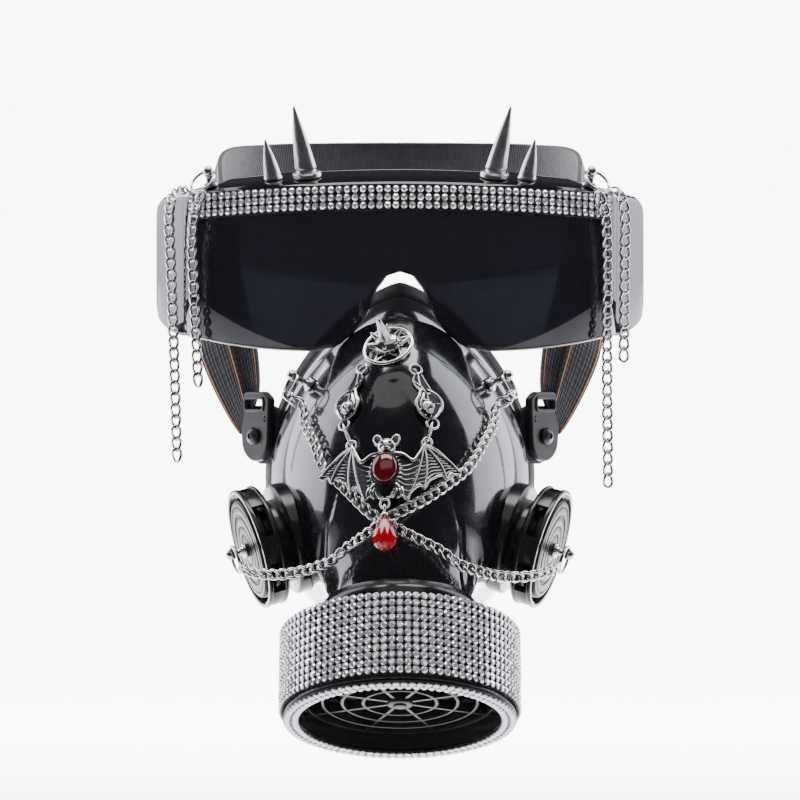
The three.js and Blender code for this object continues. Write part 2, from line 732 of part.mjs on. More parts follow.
function valveHousing(sign) {
  const bore = valve.drumRadius - valve.drumWall;
  const body = turned([
    [0, valve.flangeRoot],
    [valve.flangeRadius, valve.flangeRoot],
    [valve.flangeRadius, valve.flangeTop],
    [valve.waistRadius, valve.flangeTop],
    [valve.waistRadius, valve.drumFrom],
    [valve.drumRadius, valve.drumFrom],
    [valve.drumRadius, valve.drumTo],
    [bore, valve.drumTo],
    [bore, valve.drumFrom + valve.floor],
    [valve.hub, valve.drumFrom + valve.floor],
    [valve.hub, valve.drumFrom + valve.floor + 1],
    [0, valve.drumFrom + valve.floor + 1],
  ], 16);
  const deep = valve.drumTo - valve.drumFrom - valve.floor - 1.6;
  const middle = valve.drumFrom + valve.floor + deep / 2;
  const windows = Array.from({ length: valve.windows }, (_, i) =>
    boxAt(valve.drumWall * 4, valve.windowWidth, deep, valve.drumRadius, 0, middle)
      .rotateZ((i / valve.windows) * fullTurn));
  const placed = cut(body, windows).applyMatrix4(valveFrame(sign));
  return cut(placed, [maskEnvelope(seatGap)]);
}

function valveDisc(sign) {
  const base = valve.drumFrom + valve.floor + 1 + seatGap;
  const groove = valve.discTop - 0.9;
  const rows = [[0, base], [valve.discRadius, base], [valve.discRadius, valve.discTop]];
  discRidges.forEach((share) => {
    const outer = valve.discRadius * share;
    rows.push([outer + 0.7, valve.discTop], [outer, groove], [outer - 0.7, valve.discTop]);
  });
  rows.push([0, valve.discTop]);
  return turned(rows, 16).applyMatrix4(valveFrame(sign));
}

// Ring studs: a post with a ball that an open ring passes through

const hungRing = (centre, normal) =>
  new THREE.TorusGeometry(ring.radius, ring.wire, 5, 10).applyMatrix4(frameAt(centre, normal));

function ringStud({ seat, reach, hang, facing }) {
  const { ballRadius: ball, postRadius: post } = stud;
  const stem = turned([
    [0, 0],
    [stud.baseRadius, 0],
    [stud.baseRadius, stud.baseHeight],
    [post, stud.baseHeight],
    [post, reach - ball * 0.86],
    [ball * 0.94, reach - ball * 0.4],
    [ball * 0.94, reach + ball * 0.4],
    [ball * 0.6, reach + ball * 0.84],
    [0, reach + ball],
  ], 8);
  const origin = seat.point.clone().addScaledVector(seat.normal, seatGap);
  const middle = origin.clone().addScaledVector(seat.normal, reach);
  const across = facing ?? seat.normal;
  const down = hang.clone().addScaledVector(across, -hang.dot(across) / across.lengthSq()).normalize();
  const normal = across.clone().normalize();
  const boreRadius = ring.wire + seatGap + ball ** 2 / (2 * ring.radius);
  const bore = turned([[0, -2 * ball], [boreRadius, -2 * ball], [boreRadius, 2 * ball], [0, 2 * ball]], 6);
  bore.applyMatrix4(frameAt(middle, normal.clone().cross(down), down));
  return {
    post: cut(stem.applyMatrix4(frameAt(origin, seat.normal)), [bore]),
    ring: hungRing(middle.clone().addScaledVector(down, ring.radius), normal),
  };
}

const visorStudSeat = (sign) => shelfSeat(sign * visorStud.share * visor.creaseHalf, visorStud.inset);

function studSeats(sign) {
  const disc = vec(sign * valve.seatX, valve.seatY, valve.seatZ);
  return [
    {
      name: 'visor', seat: visorStudSeat(sign), reach: stud.valveReach,
      hang: vec(sign * 0.385, -0.484, -0.78), facing: vec(sign * 0.48, -0.61, 0.62),
    },
    {
      name: 'mask', seat: maskSeat(sign * 30.4, 19), reach: stud.reach, hang: vec(sign * -0.35, -0.46, -0.82),
    },
    {
      name: 'valve',
      seat: { point: disc.addScaledVector(valveAxis(sign), valve.discTop), normal: valveAxis(sign) },
      reach: stud.valveReach, hang: vec(sign * -0.72, -0.66, -0.2),
    },
  ];
}

// Buckles, tabs, pegs and the head strap

function buckleFrame(sign, outOfFace) {
  const normal = vec(sign * Math.sin(buckle.turn), -Math.cos(buckle.turn), 0);
  const [rim] = maskRows;
  const side = vec(sign * (rim.sideX + buckle.out), rim.sideY + buckle.back, buckle.z);
  const origin = side.addScaledVector(normal, outOfFace);
  return frameAt(origin, normal, vec(0, 0, 1));
}

function roundedPlate(length, width, thick) {
  const shape = new THREE.Shape();
  const [top, half] = [length / 2, width / 2];
  shape.moveTo(top, -half * 0.6);
  shape.lineTo(top, half * 0.6);
  shape.lineTo(top - 2.4, half);
  shape.lineTo(-top * 0.3, half * 0.92);
  shape.absarc(-top + half * 0.8, 0, half * 0.8, Math.PI * 0.38, Math.PI * 1.62, false);
  shape.lineTo(-top * 0.3, -half * 0.92);
  shape.lineTo(top - 2.4, -half);
  return extruded(shape, thick, 8);
}

function bucklePlate(sign) {
  const plate = roundedPlate(buckle.length, buckle.width, buckle.thick);
  const slotAt = buckle.length / 2 - buckle.slotDrop;
  const slot = boxAt(buckle.slotHigh, buckle.slotWidth, buckle.thick * 3, slotAt, 0, 0);
  const hole = turned([[0, -1], [peg.radius + seatGap, -1], [peg.radius + seatGap, 6], [0, 6]], 8);
  return cut(plate, [slot, hole.translate(-peg.drop, 0, 0)]).applyMatrix4(buckleFrame(sign, 0));
}

function buckleTab(sign) {
  const slab = roundedPlate(tab.length, tab.width, tab.thick).translate(-tab.drop, 0, 0);
  const root = boxAt(tab.length * 0.6, tab.width * 0.9, 8, -tab.drop - 1, 0, -3.6);
  const placed = fuse([slab, root]).applyMatrix4(buckleFrame(sign, -tab.thick - seatGap));
  return cut(placed, [maskEnvelope(seatGap), sealEnvelope(seatGap)]);
}

function bucklePeg(sign) {
  const top = buckle.thick + seatGap;
  const rows = [
    [0, 0],
    [peg.radius, 0],
    [peg.radius, top],
    [peg.headRadius, top],
    [peg.headRadius * 0.7, top + 1.4],
    [0, peg.height],
  ];
  return turned(rows, 8).translate(-peg.drop, 0, 0).applyMatrix4(buckleFrame(sign, 0));
}

function strapSection(curve, share, width, thick, lift) {
  const point = curve.getPointAt(share);
  const tangent = curve.getTangentAt(share);
  const out = point.clone().sub(vec(0, 90, point.z - 30)).normalize();
  out.addScaledVector(tangent, -out.dot(tangent)).normalize();
  const across = tangent.clone().cross(out);
  const at = (a, o) => point.clone().addScaledVector(across, a).addScaledVector(out, o);
  const [near, far] = [lift, lift + thick];
  return [at(-width / 2, near), at(width / 2, near), at(width / 2, far), at(-width / 2, far)];
}

function strapCurve() {
  const right = strapRoute.map(({ across, back, up }) =>
    vec(across * visor.creaseHalf, back * strap.reach, up * strap.rise));
  const left = right.slice(0, -1).map((p) => vec(-p.x, p.y, p.z));
  return new THREE.CatmullRomCurve3([...left, ...right.slice().reverse()]);
}

function strapLoop() {
  const curve = strapCurve();
  const loops = [];
  for (let i = 0; i <= strap.steps; i += 1) {
    loops.push(strapSection(curve, i / strap.steps, strap.width, strap.thick, 0));
  }
  return skin(loops);
}

// The free end of the strap, turned back over its outer face at the buckle
function strapFold(sign) {
  const curve = strapCurve();
  const loops = [];
  for (let i = 0; i <= fold.steps; i += 1) {
    const share = sign < 0 ? i / strap.steps : 1 - i / strap.steps;
    loops.push(strapSection(curve, share, fold.width, fold.thick, strap.thick + 2 * seatGap));
  }
  return skin(loops);
}

// Ornaments

// A frame lying on the mask: X across, Y up the surface and Z away from it
function surfaceFrame(x, z, lift, lean = 0) {
  const seat = maskSeat(x, z);
  const origin = seat.point.clone().addScaledVector(seat.normal, lift);
  return frameAt(origin, seat.normal, vec(Math.cos(lean), 0, Math.sin(lean)));
}

const starSeat = () => surfaceFrame(charmX, star.z, star.wire + seatGap);

function pentagramRing() {
  const hoop = new THREE.TorusGeometry(star.radius, star.wire, 5, 14);
  const tips = Array.from({ length: 5 }, (_, i) => {
    const angle = Math.PI / 2 + (i / 5) * fullTurn;
    return vec(Math.cos(angle), Math.sin(angle), 0).multiplyScalar(star.radius);
  });
  const bars = tips.map((tip, i) => {
    const next = tips[(i + 2) % 5];
    const span = next.clone().sub(tip);
    const middle = tip.clone().add(next).multiplyScalar(0.5);
    const bar = boxAt(span.length(), star.bar, star.wire);
    return bar.rotateZ(Math.atan2(span.y, span.x)).translate(middle.x, middle.y, 0);
  });
  return fuse([hoop, ...bars]).applyMatrix4(starSeat());
}

function studDome() {
  const base = star.wire / 2 + seatGap;
  const cap = turned([
    [0, base],
    [dome.radius, base],
    [dome.radius * 0.94, base + dome.height * 0.45],
    [dome.radius * 0.6, base + dome.height * 0.85],
    [0, base + dome.height],
  ], 12);
  const spikeCone = turned([
    [0, base + 1],
    [dome.spikeRadius, base + dome.height * 0.7],
    [dome.tipRadius, base + dome.spikeTop - 1],
    [0, base + dome.spikeTop],
  ], 8);
  const small = Array.from({ length: dome.small }, (_, i) => {
    const angle = ((i + 0.4) / dome.small) * fullTurn;
    const cone = turned([[0, -1.4], [1.1, -1.4], [0, dome.smallHeight]], 5);
    const out = vec(Math.cos(angle), Math.sin(angle), 0.75).normalize();
    const origin = vec(Math.cos(angle), Math.sin(angle), 0).multiplyScalar(dome.radius * 0.8);
    return cone.applyMatrix4(frameAt(origin.setZ(base + dome.height * 0.5), out, vec(0, 0, 1)));
  });
  return fuse([cap, spikeCone, ...small]).applyMatrix4(starSeat());
}

function leafCharm(sign) {
  const shape = new THREE.Shape();
  const top = leaf.length / 2;
  const outer = leafEdge.map((row) => [-row.outer * leaf.width, top - row.along * leaf.length]);
  const inner = leafEdge.map((row) => [row.inner * leaf.width, top - row.along * leaf.length]);
  const outline = [...outer, ...inner.reverse()];
  shape.setFromPoints(outline.map(([x, y]) => new THREE.Vector2(-sign * x, y)));
  const plate = extruded(shape, leaf.thick);
  const skull = ellipsoid(leaf.skull * 0.85, leaf.skull, leaf.skull * 0.8, 8, 5);
  skull.translate(0, -leaf.length * 0.27, leaf.thick + leaf.skull * 0.2);
  const hoopAt = (y) => new THREE.TorusGeometry(leaf.ring, leaf.wire, 5, 8).translate(0, y, leaf.thick / 2);
  const hoops = [top + leaf.ring * 0.6, -top - leaf.ring * 0.6].map(hoopAt);
  return fuse([plate, skull, ...hoops]).applyMatrix4(leafSeat(sign));
}

const leafSeat = (sign) => surfaceFrame(charmX + sign * leaf.x, leaf.z, seatGap, sign * leaf.lean);

function wingPoints(sign, edge) {
  return edge.map(({ across, up }) => new THREE.Vector2(sign * across * bat.halfSpan, up * bat.halfSpan));
}

function sweptBack(geometry) {
  const spots = geometry.attributes.position;
  for (let i = 0; i < spots.count; i += 1) {
    spots.setZ(i, spots.getZ(i) - bat.sweep * Math.abs(spots.getX(i)));
  }
  return geometry;
}

function boneFrom(sign, tip) {
  const from = new THREE.Vector2(sign * wingPeak.across, wingPeak.up).multiplyScalar(bat.halfSpan);
  const to = new THREE.Vector2(sign * tip.across, tip.up).multiplyScalar(bat.halfSpan);
  const span = to.clone().sub(from);
  const bar = boxAt(span.length(), bat.bone, bat.bone, 0, 0, bat.thick);
  return bar.rotateZ(span.angle()).translate((from.x + to.x) / 2, (from.y + to.y) / 2, 0);
}

function batCharm() {
  const wings = sides.map(({ sign }) => {
    const points = wingPoints(sign, wingEdge);
    const root = [new THREE.Vector2(0, -0.3 * bat.halfSpan), new THREE.Vector2(0, 0.2 * bat.halfSpan)];
    return extruded(new THREE.Shape([...points, ...root]), bat.thick);
  });
  const bones = sides.flatMap(({ sign }) => wingBones.map((tip) => boneFrom(sign, tip)));
  const body = ellipsoid(3.6, bat.bodyLength / 2, 2, 8, 5).translate(0, -2.4, bat.thick * 0.6);
  const head = ellipsoid(bat.headRadius, bat.headRadius * 0.9, 2.4, 8, 4).translate(0, 5.6, bat.thick);
  const ears = sides.map(({ sign }) =>
    turned([[0, 0], [1.3, 0], [0, 3.8]], 5).rotateX(-Math.PI / 2).translate(sign * 2, 6.6, bat.thick));
  const tail = new THREE.TorusGeometry(bat.tailRadius, bat.wire, 5, 8).translate(...batTail.toArray());
  const loops = sides.map(({ sign }) =>
    new THREE.TorusGeometry(bat.loopRadius, bat.wire, 5, 8).translate(...batLoop(sign).toArray()));
  const stoneSeat = ellipsoid(cabochon.width / 2 + 0.9, cabochon.height / 2 + 0.9, 2.4, 8, 4)
    .translate(0, stoneUp, bat.thick * 0.4);
  const pocket = boxAt(cabochon.width * 2, cabochon.height * 1.05 + 2, 6, 0, stoneUp, stoneBase + 3);
  const relief = fuse([...wings.map(sweptBack), ...bones.map(sweptBack), body, head, ...ears, tail, stoneSeat,
    ...loops]);
  return cut(relief, [pocket]).applyMatrix4(batSeat());
}

const stoneUp = cabochon.z - bat.z;
const stoneBase = bat.thick + 1.4;
const batTail = vec(0, -bat.bodyLength * bat.tail, bat.thick * 0.6);
function batLoop(sign) {
  const across = bat.loopAcross * bat.halfSpan;
  return vec(sign * across, bat.loopUp * bat.halfSpan, bat.thick / 2 - bat.sweep * across);
}

// The bat hangs with its tail tipped forward, over the crossing chains
function batSeat() {
  const tipped = new THREE.Matrix4().makeRotationX(-bat.tip).scale(vec(1, bat.tall, 1));
  return surfaceFrame(charmX, bat.z, bat.lift).multiply(tipped);
}

function batStone() {
  const rows = [
    [0, 0],
    [1, 0],
    [0.97, 0.35],
    [0.72, 0.75],
    [0.34, 0.95],
    [0, 1],
  ];
  const stone = turned(rows, 12).scale(cabochon.width / 2, cabochon.height / 2, cabochon.rise);
  return stone.translate(0, stoneUp, stoneBase + seatGap).applyMatrix4(batSeat());
}

// The drop hangs by its eye from the bat's tail loop, tipped forward over the chains
function dropFrame() {
  const loop = batTail.clone().sub(vec(0, bat.tailRadius, 0)).applyMatrix4(batSeat());
  return frameAt(loop, vec(0, Math.sin(drop.tilt), Math.cos(drop.tilt)));
}

function redDrop() {
  const { radius, height, facets } = drop;
  const top = -drop.eye - drop.wire - drop.capHeight - seatGap;
  const rows = [
    [0, -1],
    [0.45, -1],
    [0.86, -0.86],
    [1, -0.66],
    [0.78, -0.38],
    [0.36, -0.12],
    [0.2, 0],
    [0, 0],
  ].map(([r, h]) => [r * radius, top + h * height]);
  return turned(rows, facets).applyMatrix4(dropFrame());
}

function dropCap() {
  const top = -drop.eye - drop.wire / 2;
  const bell = turned([[0, top - drop.capHeight], [1.2, top - drop.capHeight], [0.8, top], [0, top]], 8);
  const eye = new THREE.TorusGeometry(drop.eye, drop.wire, 5, 8).rotateY(Math.PI / 2);
  return fuse([bell, eye]).applyMatrix4(dropFrame());
}

const outOf = (frame) => vec(0, 0, 1).transformDirection(frame);

// A link from the lower hoop of a leaf to the loop on the bat's wing
function charmLink(sign) {
  const from = vec(0, -leaf.length / 2 - leaf.ring * 0.6, leaf.thick / 2).applyMatrix4(leafSeat(sign));
  const to = batLoop(sign).applyMatrix4(batSeat());
  const span = to.clone().sub(from);
  const front = outOf(leafSeat(sign)).add(outOf(batSeat())).normalize();
  const middle = from.clone().add(to).multiplyScalar(0.5).addScaledVector(front, link.lift);
  const oval = new THREE.TorusGeometry(link.halfWidth, link.wire, 5, 8);
  oval.scale(span.length() / 2 / link.halfWidth, 1, 1);
  const across = span.clone().cross(front).normalize();
  const hung = new THREE.Matrix4().makeBasis(span.normalize(), front, across);
  return oval.applyMatrix4(hung.setPosition(middle));
}

// Chains, as tubes along their routes

function crossingPoints(rows) {
  return rows.map(({ x, y, z, lift }) => {
    if (y !== undefined) return vec(x, y, z);
    const seat = maskSeat(x, z);
    return seat.point.clone().addScaledVector(seat.normal, lift);
  });
}

function hangingPoints(rows, sign) {
  const crease = lensPlan(visor.creaseHalf).point.setZ(lensTop(visor.creaseHalf));
  return rows.map(({ stud: onStud, out, back, up }) => {
    const from = onStud ? visorStudSeat(1).point : crease;
    return vec(sign * (from.x + out), from.y + back, from.z + up);
  });
}

function chainTube(points, radius) {
  const curve = new THREE.CatmullRomCurve3(points);
  const section = new THREE.Shape();
  for (let i = 0; i < chain.sides; i += 1) {
    const angle = (i / chain.sides) * fullTurn;
    const [x, y] = [Math.cos(angle) * radius, Math.sin(angle) * radius];
    if (i === 0) section.moveTo(x, y);
    else section.lineTo(x, y);
  }
  const steps = Math.round(points.length * chain.stepShare) + 2;
  return new THREE.ExtrudeGeometry(section, { steps, extrudePath: curve, bevelEnabled: false });
}

// Assembly

addPart('visor_shell', visorShell(), finish.tint());
addPart('visor_trim', visorTrim(), finish.stone());
spikes.forEach((row) => addPart(row.name, spike(row), finish.nickel()));
addPart('mask_body', maskBody(), finish.gloss());
addPart('face_seal', faceSeal(), finish.rubber());
addPart('filter_neck', filterNeck(), finish.plastic());
addPart('filter_housing', filterHousing(), finish.plastic());
addPart('filter_band', filterBand(), finish.stone());
addPart('filter_rim_trim', filterRimTrim(), finish.stone());
sides.forEach(({ side, sign }) => {
  addPart(`temple_${side}`, templeArm(sign), finish.tint());
  addPart(`valve_housing_${side}`, valveHousing(sign), finish.plastic());
  addPart(`valve_disc_${side}`, valveDisc(sign), finish.plastic());
  studSeats(sign).forEach((row) => {
    const made = ringStud(row);
    addPart(`${row.name}_stud_${side}`, made.post, finish.nickel());
    addPart(`${row.name}_ring_${side}`, made.ring, finish.nickel());
  });
  addPart(`buckle_${side}`, bucklePlate(sign), finish.plastic());
  addPart(`tab_${side}`, buckleTab(sign), finish.rubber());
  addPart(`peg_${side}`, bucklePeg(sign), finish.plastic());
  addPart(`fold_${side}`, strapFold(sign), finish.strap());
  addPart(`leaf_${side}`, leafCharm(sign), finish.antique());
  addPart(`link_${side}`, charmLink(sign), finish.antique());
});
addPart('strap_loop', strapLoop(), finish.strap());
addPart('pentagram_ring', pentagramRing(), finish.nickel());
addPart('stud_dome', studDome(), finish.nickel());
addPart('bat', batCharm(), finish.antique());
addPart('cabochon', batStone(), finish.ruby());
addPart('red_drop', redDrop(), finish.ruby());
addPart('drop_cap', dropCap(), finish.nickel());
Object.entries(crossingRoutes).forEach(([name, rows]) => {
  addPart(name, chainTube(crossingPoints(rows), chain.radius), finish.nickel());
});
Object.entries(hangingRoutes).forEach(([name, rows]) => {
  const sign = name.includes('left') ? -1 : 1;
  addPart(name, chainTube(hangingPoints(rows, sign), chain.hangRadius), finish.nickel());
});

export default model;
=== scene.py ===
import math
import random

import bmesh
import bpy
from mathutils import Matrix, Vector
from mathutils.bvhtree import BVHTree


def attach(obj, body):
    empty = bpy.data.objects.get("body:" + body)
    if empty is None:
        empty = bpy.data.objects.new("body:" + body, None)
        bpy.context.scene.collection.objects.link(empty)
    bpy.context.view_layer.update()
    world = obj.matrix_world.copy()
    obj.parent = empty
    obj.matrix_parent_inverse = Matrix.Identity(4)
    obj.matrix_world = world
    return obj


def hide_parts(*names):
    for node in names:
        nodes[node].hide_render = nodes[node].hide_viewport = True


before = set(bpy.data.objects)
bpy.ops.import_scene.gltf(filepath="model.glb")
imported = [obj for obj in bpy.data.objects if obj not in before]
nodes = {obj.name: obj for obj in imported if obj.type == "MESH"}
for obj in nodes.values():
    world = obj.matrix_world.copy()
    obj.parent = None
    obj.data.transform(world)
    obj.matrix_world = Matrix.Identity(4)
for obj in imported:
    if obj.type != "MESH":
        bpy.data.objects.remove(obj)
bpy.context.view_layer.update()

MM = 0.001
TAU = math.tau
rng = random.Random(11)
SIDES = (("left", -1), ("right", 1))

# ---- mesh making, in millimetres ----


class Body:
    """Collects closed bits of mesh with a material number each, then becomes one object."""

    def __init__(self):
        self.verts, self.faces, self.slots, self.sharp = [], [], [], []

    def add(self, bit, matrix=None, slot=0, flat=False):
        verts, faces = bit
        start = len(self.verts)
        if matrix is not None:
            verts = [matrix @ Vector(v) for v in verts]
        self.verts.extend(tuple(v) for v in verts)
        self.faces.extend(tuple(start + i for i in face) for face in faces)
        self.slots.extend([slot] * len(faces))
        self.sharp.extend([flat] * len(faces))
        return self

    def build(self, name, materials, angle=38, replaces=(), slot=None):
        mesh = bpy.data.meshes.new(name)
        scaled = [tuple(c * MM for c in v) for v in self.verts]
        mesh.from_pydata(scaled, [], self.faces, shade_flat=False)
        for material in materials:
            mesh.materials.append(material)
        mesh.polygons.foreach_set("material_index", self.slots)
        mesh.update()
        work = bmesh.new()
        work.from_mesh(mesh)
        bmesh.ops.recalc_face_normals(work, faces=work.faces)
        work.to_mesh(mesh)
        work.free()
        mesh.set_sharp_from_angle(angle=math.radians(angle))
        if any(self.sharp):
            for polygon, flat in zip(mesh.polygons, self.sharp):
                if flat:
                    polygon.use_smooth = False
        obj = bpy.data.objects.new(name, mesh)
        bpy.context.scene.collection.objects.link(obj)
        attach(obj, "root")
        if replaces:
            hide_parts(*replaces)
        return obj


def loft(loops, ring=True, closed=False, caps=True):
    """Skin through loops of equal length: ring joins each loop's ends, closed joins last to first."""
    count = len(loops[0])
    verts = [v for loop in loops for v in loop]
    faces = []
    spans = len(loops) if closed else len(loops) - 1
    across = count if ring else count - 1
    for i in range(spans):
        a, b = i * count, ((i + 1) % len(loops)) * count
        for j in range(across):
            k = (j + 1) % count
            faces.append((a + j, a + k, b + k, b + j))
    if caps and not closed and ring:
        faces.append(tuple(range(count)))
        faces.append(tuple(reversed(range((len(loops) - 1) * count, len(loops) * count))))
    return verts, faces


def lathe(rows, segments=48):
    """Body of revolution about Z from rows of (radius, height); a radius of 0 closes to a point."""
    verts, rings = [], []
    for radius, height in rows:
        if radius < 1e-6:
            rings.append([len(verts)])
            verts.append((0, 0, height))
            continue
        rings.append(list(range(len(verts), len(verts) + segments)))
        for i in range(segments):
            angle = TAU * i / segments
            verts.append((radius * math.cos(angle), radius * math.sin(angle), height))
    faces = []
    for low, high in zip(rings, rings[1:]):
        for i in range(segments):
            k = (i + 1) % segments
            if len(low) == 1 and len(high) > 1:
                faces.append((low[0], high[i], high[k]))
            elif len(high) == 1 and len(low) > 1:
                faces.append((low[i], low[k], high[0]))
            elif len(low) > 1:
                faces.append((low[i], low[k], high[k], high[i]))
    return verts, faces


def lathe_ring(rows, segments=64):
    """Body of revolution whose section is a closed loop of (radius, height)."""
    loops = []
    for i in range(segments):
        angle = TAU * i / segments
        loops.append([(r * math.cos(angle), r * math.sin(angle), h) for r, h in rows])
    return loft(loops, closed=True)


def soft(rows, radius, closed=False, steps=3):
    """Rounds the corners of a run of 2-D points."""
    points = [Vector(r) for r in rows]
    out = []
    last = len(points) - 1
    for i, point in enumerate(points):
        if not closed and i in (0, last):
            out.append(tuple(point))
            continue
        before, after = points[i - 1], points[(i + 1) % len(points)]
        reach = min(radius, (before - point).length * 0.45, (after - point).length * 0.45)
        if reach < 1e-4:
            out.append(tuple(point))
            continue
        a = point + (before - point).normalized() * reach
        b = point + (after - point).normalized() * reach
        for step in range(steps + 1):
            t = step / steps
            out.append(tuple(a * (1 - t) ** 2 + point * 2 * t * (1 - t) + b * t * t))
    return out


def rect(x0, y0, x1, y1, radius, steps=2):
    """Closed rectangle between two corners, with its corners rounded."""
    return soft([(x0, y0), (x1, y0), (x1, y1), (x0, y1)], radius, closed=True, steps=steps)


def torus(radius, wire, around, sides):
    section = [(radius + wire * math.cos(TAU * j / sides), wire * math.sin(TAU * j / sides)) for j in range(sides)]
    return lathe_ring(section, around)


def tube(points, radius, sides=10, closed=False, taper=None):
    """Round wire along points; taper gives a factor on the radius for each share of its length."""
    points = [Vector(p) for p in points]
    count = len(points)
    loops, up = [], None
    for i, point in enumerate(points):
        before = points[i - 1] if i or closed else point
        after = points[(i + 1) % count] if i < count - 1 or closed else point
        tangent = (after - before).normalized()
        if up is None:
            up = Vector((0, 0, 1)) if abs(tangent.z) < 0.9 else Vector((1, 0, 0))
        up = (up - tangent * up.dot(tangent)).normalized()
        side = tangent.cross(up)
        size = radius * (taper(i / (count - 1)) if taper else 1)
        loops.append([point + (side * math.cos(TAU * j / sides) + up * math.sin(TAU * j / sides)) * size
                      for j in range(sides)])
    return loft(loops, closed=closed)


def box(dx, dy, dz, x, y, z, bevel):
    """Box about a point, with its vertical edges rounded."""
    outline = rect(-dx / 2, -dy / 2, dx / 2, dy / 2, bevel)
    loops = [[(x + px, y + py, z + h) for px, py in outline] for h in (-dz / 2, dz / 2)]
    return loft(loops)


def ball(rx, ry, rz, around=24, up=14):
    rows = [(math.sin(math.pi * i / up), -math.cos(math.pi * i / up)) for i in range(up + 1)]
    verts, faces = lathe([(max(r, 0), h) if 0 < i < up else (0, h) for i, (r, h) in enumerate(rows)], around)
    return [(v[0] * rx, v[1] * ry, v[2] * rz) for v in verts], faces


def plate(outline, holes=(), thick=1.0, bevel=0.2, rounds=2):
    """Flat plate with rounded rims, cut from an outline with holes, lying on Z = 0."""
    curve = bpy.data.curves.new("outline", "CURVE")
    curve.dimensions = "2D"
    curve.fill_mode = "BOTH"
    curve.extrude = thick / 2 - bevel
    curve.bevel_depth = bevel
    curve.bevel_resolution = rounds
    curve.offset = -bevel
    for loop in (outline, *holes):
        spline = curve.splines.new("POLY")
        spline.points.add(len(loop) - 1)
        for point, (x, y) in zip(spline.points, loop):
            point.co = (x, y, 0, 1)
        spline.use_cyclic_u = True
    holder = bpy.data.objects.new("outline", curve)
    bpy.context.scene.collection.objects.link(holder)
    bpy.context.view_layer.update()
    made = holder.evaluated_get(bpy.context.evaluated_depsgraph_get()).to_mesh()
    verts = [(v.co.x, v.co.y, v.co.z + thick / 2) for v in made.vertices]
    faces = [tuple(p.vertices) for p in made.polygons]
    bpy.data.objects.remove(holder, do_unlink=True)
    bpy.data.curves.remove(curve)
    return verts, faces


def hull(points):
    """Smallest convex body round the points, with flat facets."""
    work = bmesh.new()
    made = bmesh.ops.convex_hull(work, input=[work.verts.new(p) for p in points])
    spare = {v for v in made["geom_interior"] + made["geom_unused"] if isinstance(v, bmesh.types.BMVert)}
    bmesh.ops.delete(work, geom=list(spare), context="VERTS")
    work.verts.index_update()
    verts = [tuple(v.co) for v in work.verts]
    faces = [tuple(v.index for v in face.verts) for face in work.faces]
    work.free()
    return verts, faces


def sided(sign, x, y, z):
    return Vector((sign * x, y, z))


def polar(radius, angle, height=0.0):
    return Vector((radius * math.cos(angle), radius * math.sin(angle), height))


def frame_at(origin, axis, hint=(1, 0, 0)):
    """Matrix that stands Z along the axis at the origin, with X as near the hint as it can lie."""
    z = Vector(axis).normalized()
    x = Vector(hint)
    x = (x - z * x.dot(z)).normalized()
    y = z.cross(x)
    matrix = Matrix.Identity(4)
    for row in range(3):
        matrix[row][0], matrix[row][1], matrix[row][2], matrix[row][3] = x[row], y[row], z[row], origin[row]
    return matrix


def moved(x, y, z):
    return Matrix.Translation((x, y, z))


def lerp(a, b, t):
    return a + (b - a) * t


def smoothstep(a, b, t):
    t = min(1.0, max(0.0, (t - a) / (b - a)))
    return t * t * (3 - 2 * t)


def catmull(points, steps, closed=False):
    """Centripetal Catmull-Rom curve through points, steps samples for each span."""
    pts = [Vector(p) for p in points]
    count = len(pts)
    if closed:
        ext = [pts[-1], *pts, pts[0], pts[1]]
        spans = count
    else:
        ext = [pts[0] * 2 - pts[1], *pts, pts[-1] * 2 - pts[-2]]
        spans = count - 1
    out = []
    for i in range(spans):
        p0, p1, p2, p3 = ext[i:i + 4]
        t0 = 0.0
        t1 = t0 + max((p1 - p0).length, 1e-4) ** 0.5
        t2 = t1 + max((p2 - p1).length, 1e-4) ** 0.5
        t3 = t2 + max((p3 - p2).length, 1e-4) ** 0.5
        for s in range(steps):
            t = lerp(t1, t2, s / steps)
            a1 = p0 * ((t1 - t) / (t1 - t0)) + p1 * ((t - t0) / (t1 - t0))
            a2 = p1 * ((t2 - t) / (t2 - t1)) + p2 * ((t - t1) / (t2 - t1))
            a3 = p2 * ((t3 - t) / (t3 - t2)) + p3 * ((t - t2) / (t3 - t2))
            b1 = a1 * ((t2 - t) / (t2 - t0)) + a2 * ((t - t0) / (t2 - t0))
            b2 = a2 * ((t3 - t) / (t3 - t1)) + a3 * ((t - t1) / (t3 - t1))
            out.append(b1 * ((t2 - t) / (t2 - t1)) + b2 * ((t - t1) / (t2 - t1)))
    if not closed:
        out.append(pts[-1].copy())
    return out


def evenly(points, count=None, pitch=None):
    """Points at even distances along a run of points, with the direction of travel at each."""
    lengths = [0.0]
    for a, b in zip(points, points[1:]):
        lengths.append(lengths[-1] + (b - a).length)
    total = lengths[-1]
    if count is None:
        count = max(2, round(total / pitch) + 1)
    out = []
    j = 0
    for i in range(count):
        goal = total * i / (count - 1)
        while j < len(lengths) - 2 and lengths[j + 1] < goal:
            j += 1
        share = (goal - lengths[j]) / max(lengths[j + 1] - lengths[j], 1e-9)
        out.append((points[j].lerp(points[j + 1], share), (points[j + 1] - points[j]).normalized()))
    return out


# ---- sizes shared with the solids, in millimetres ----

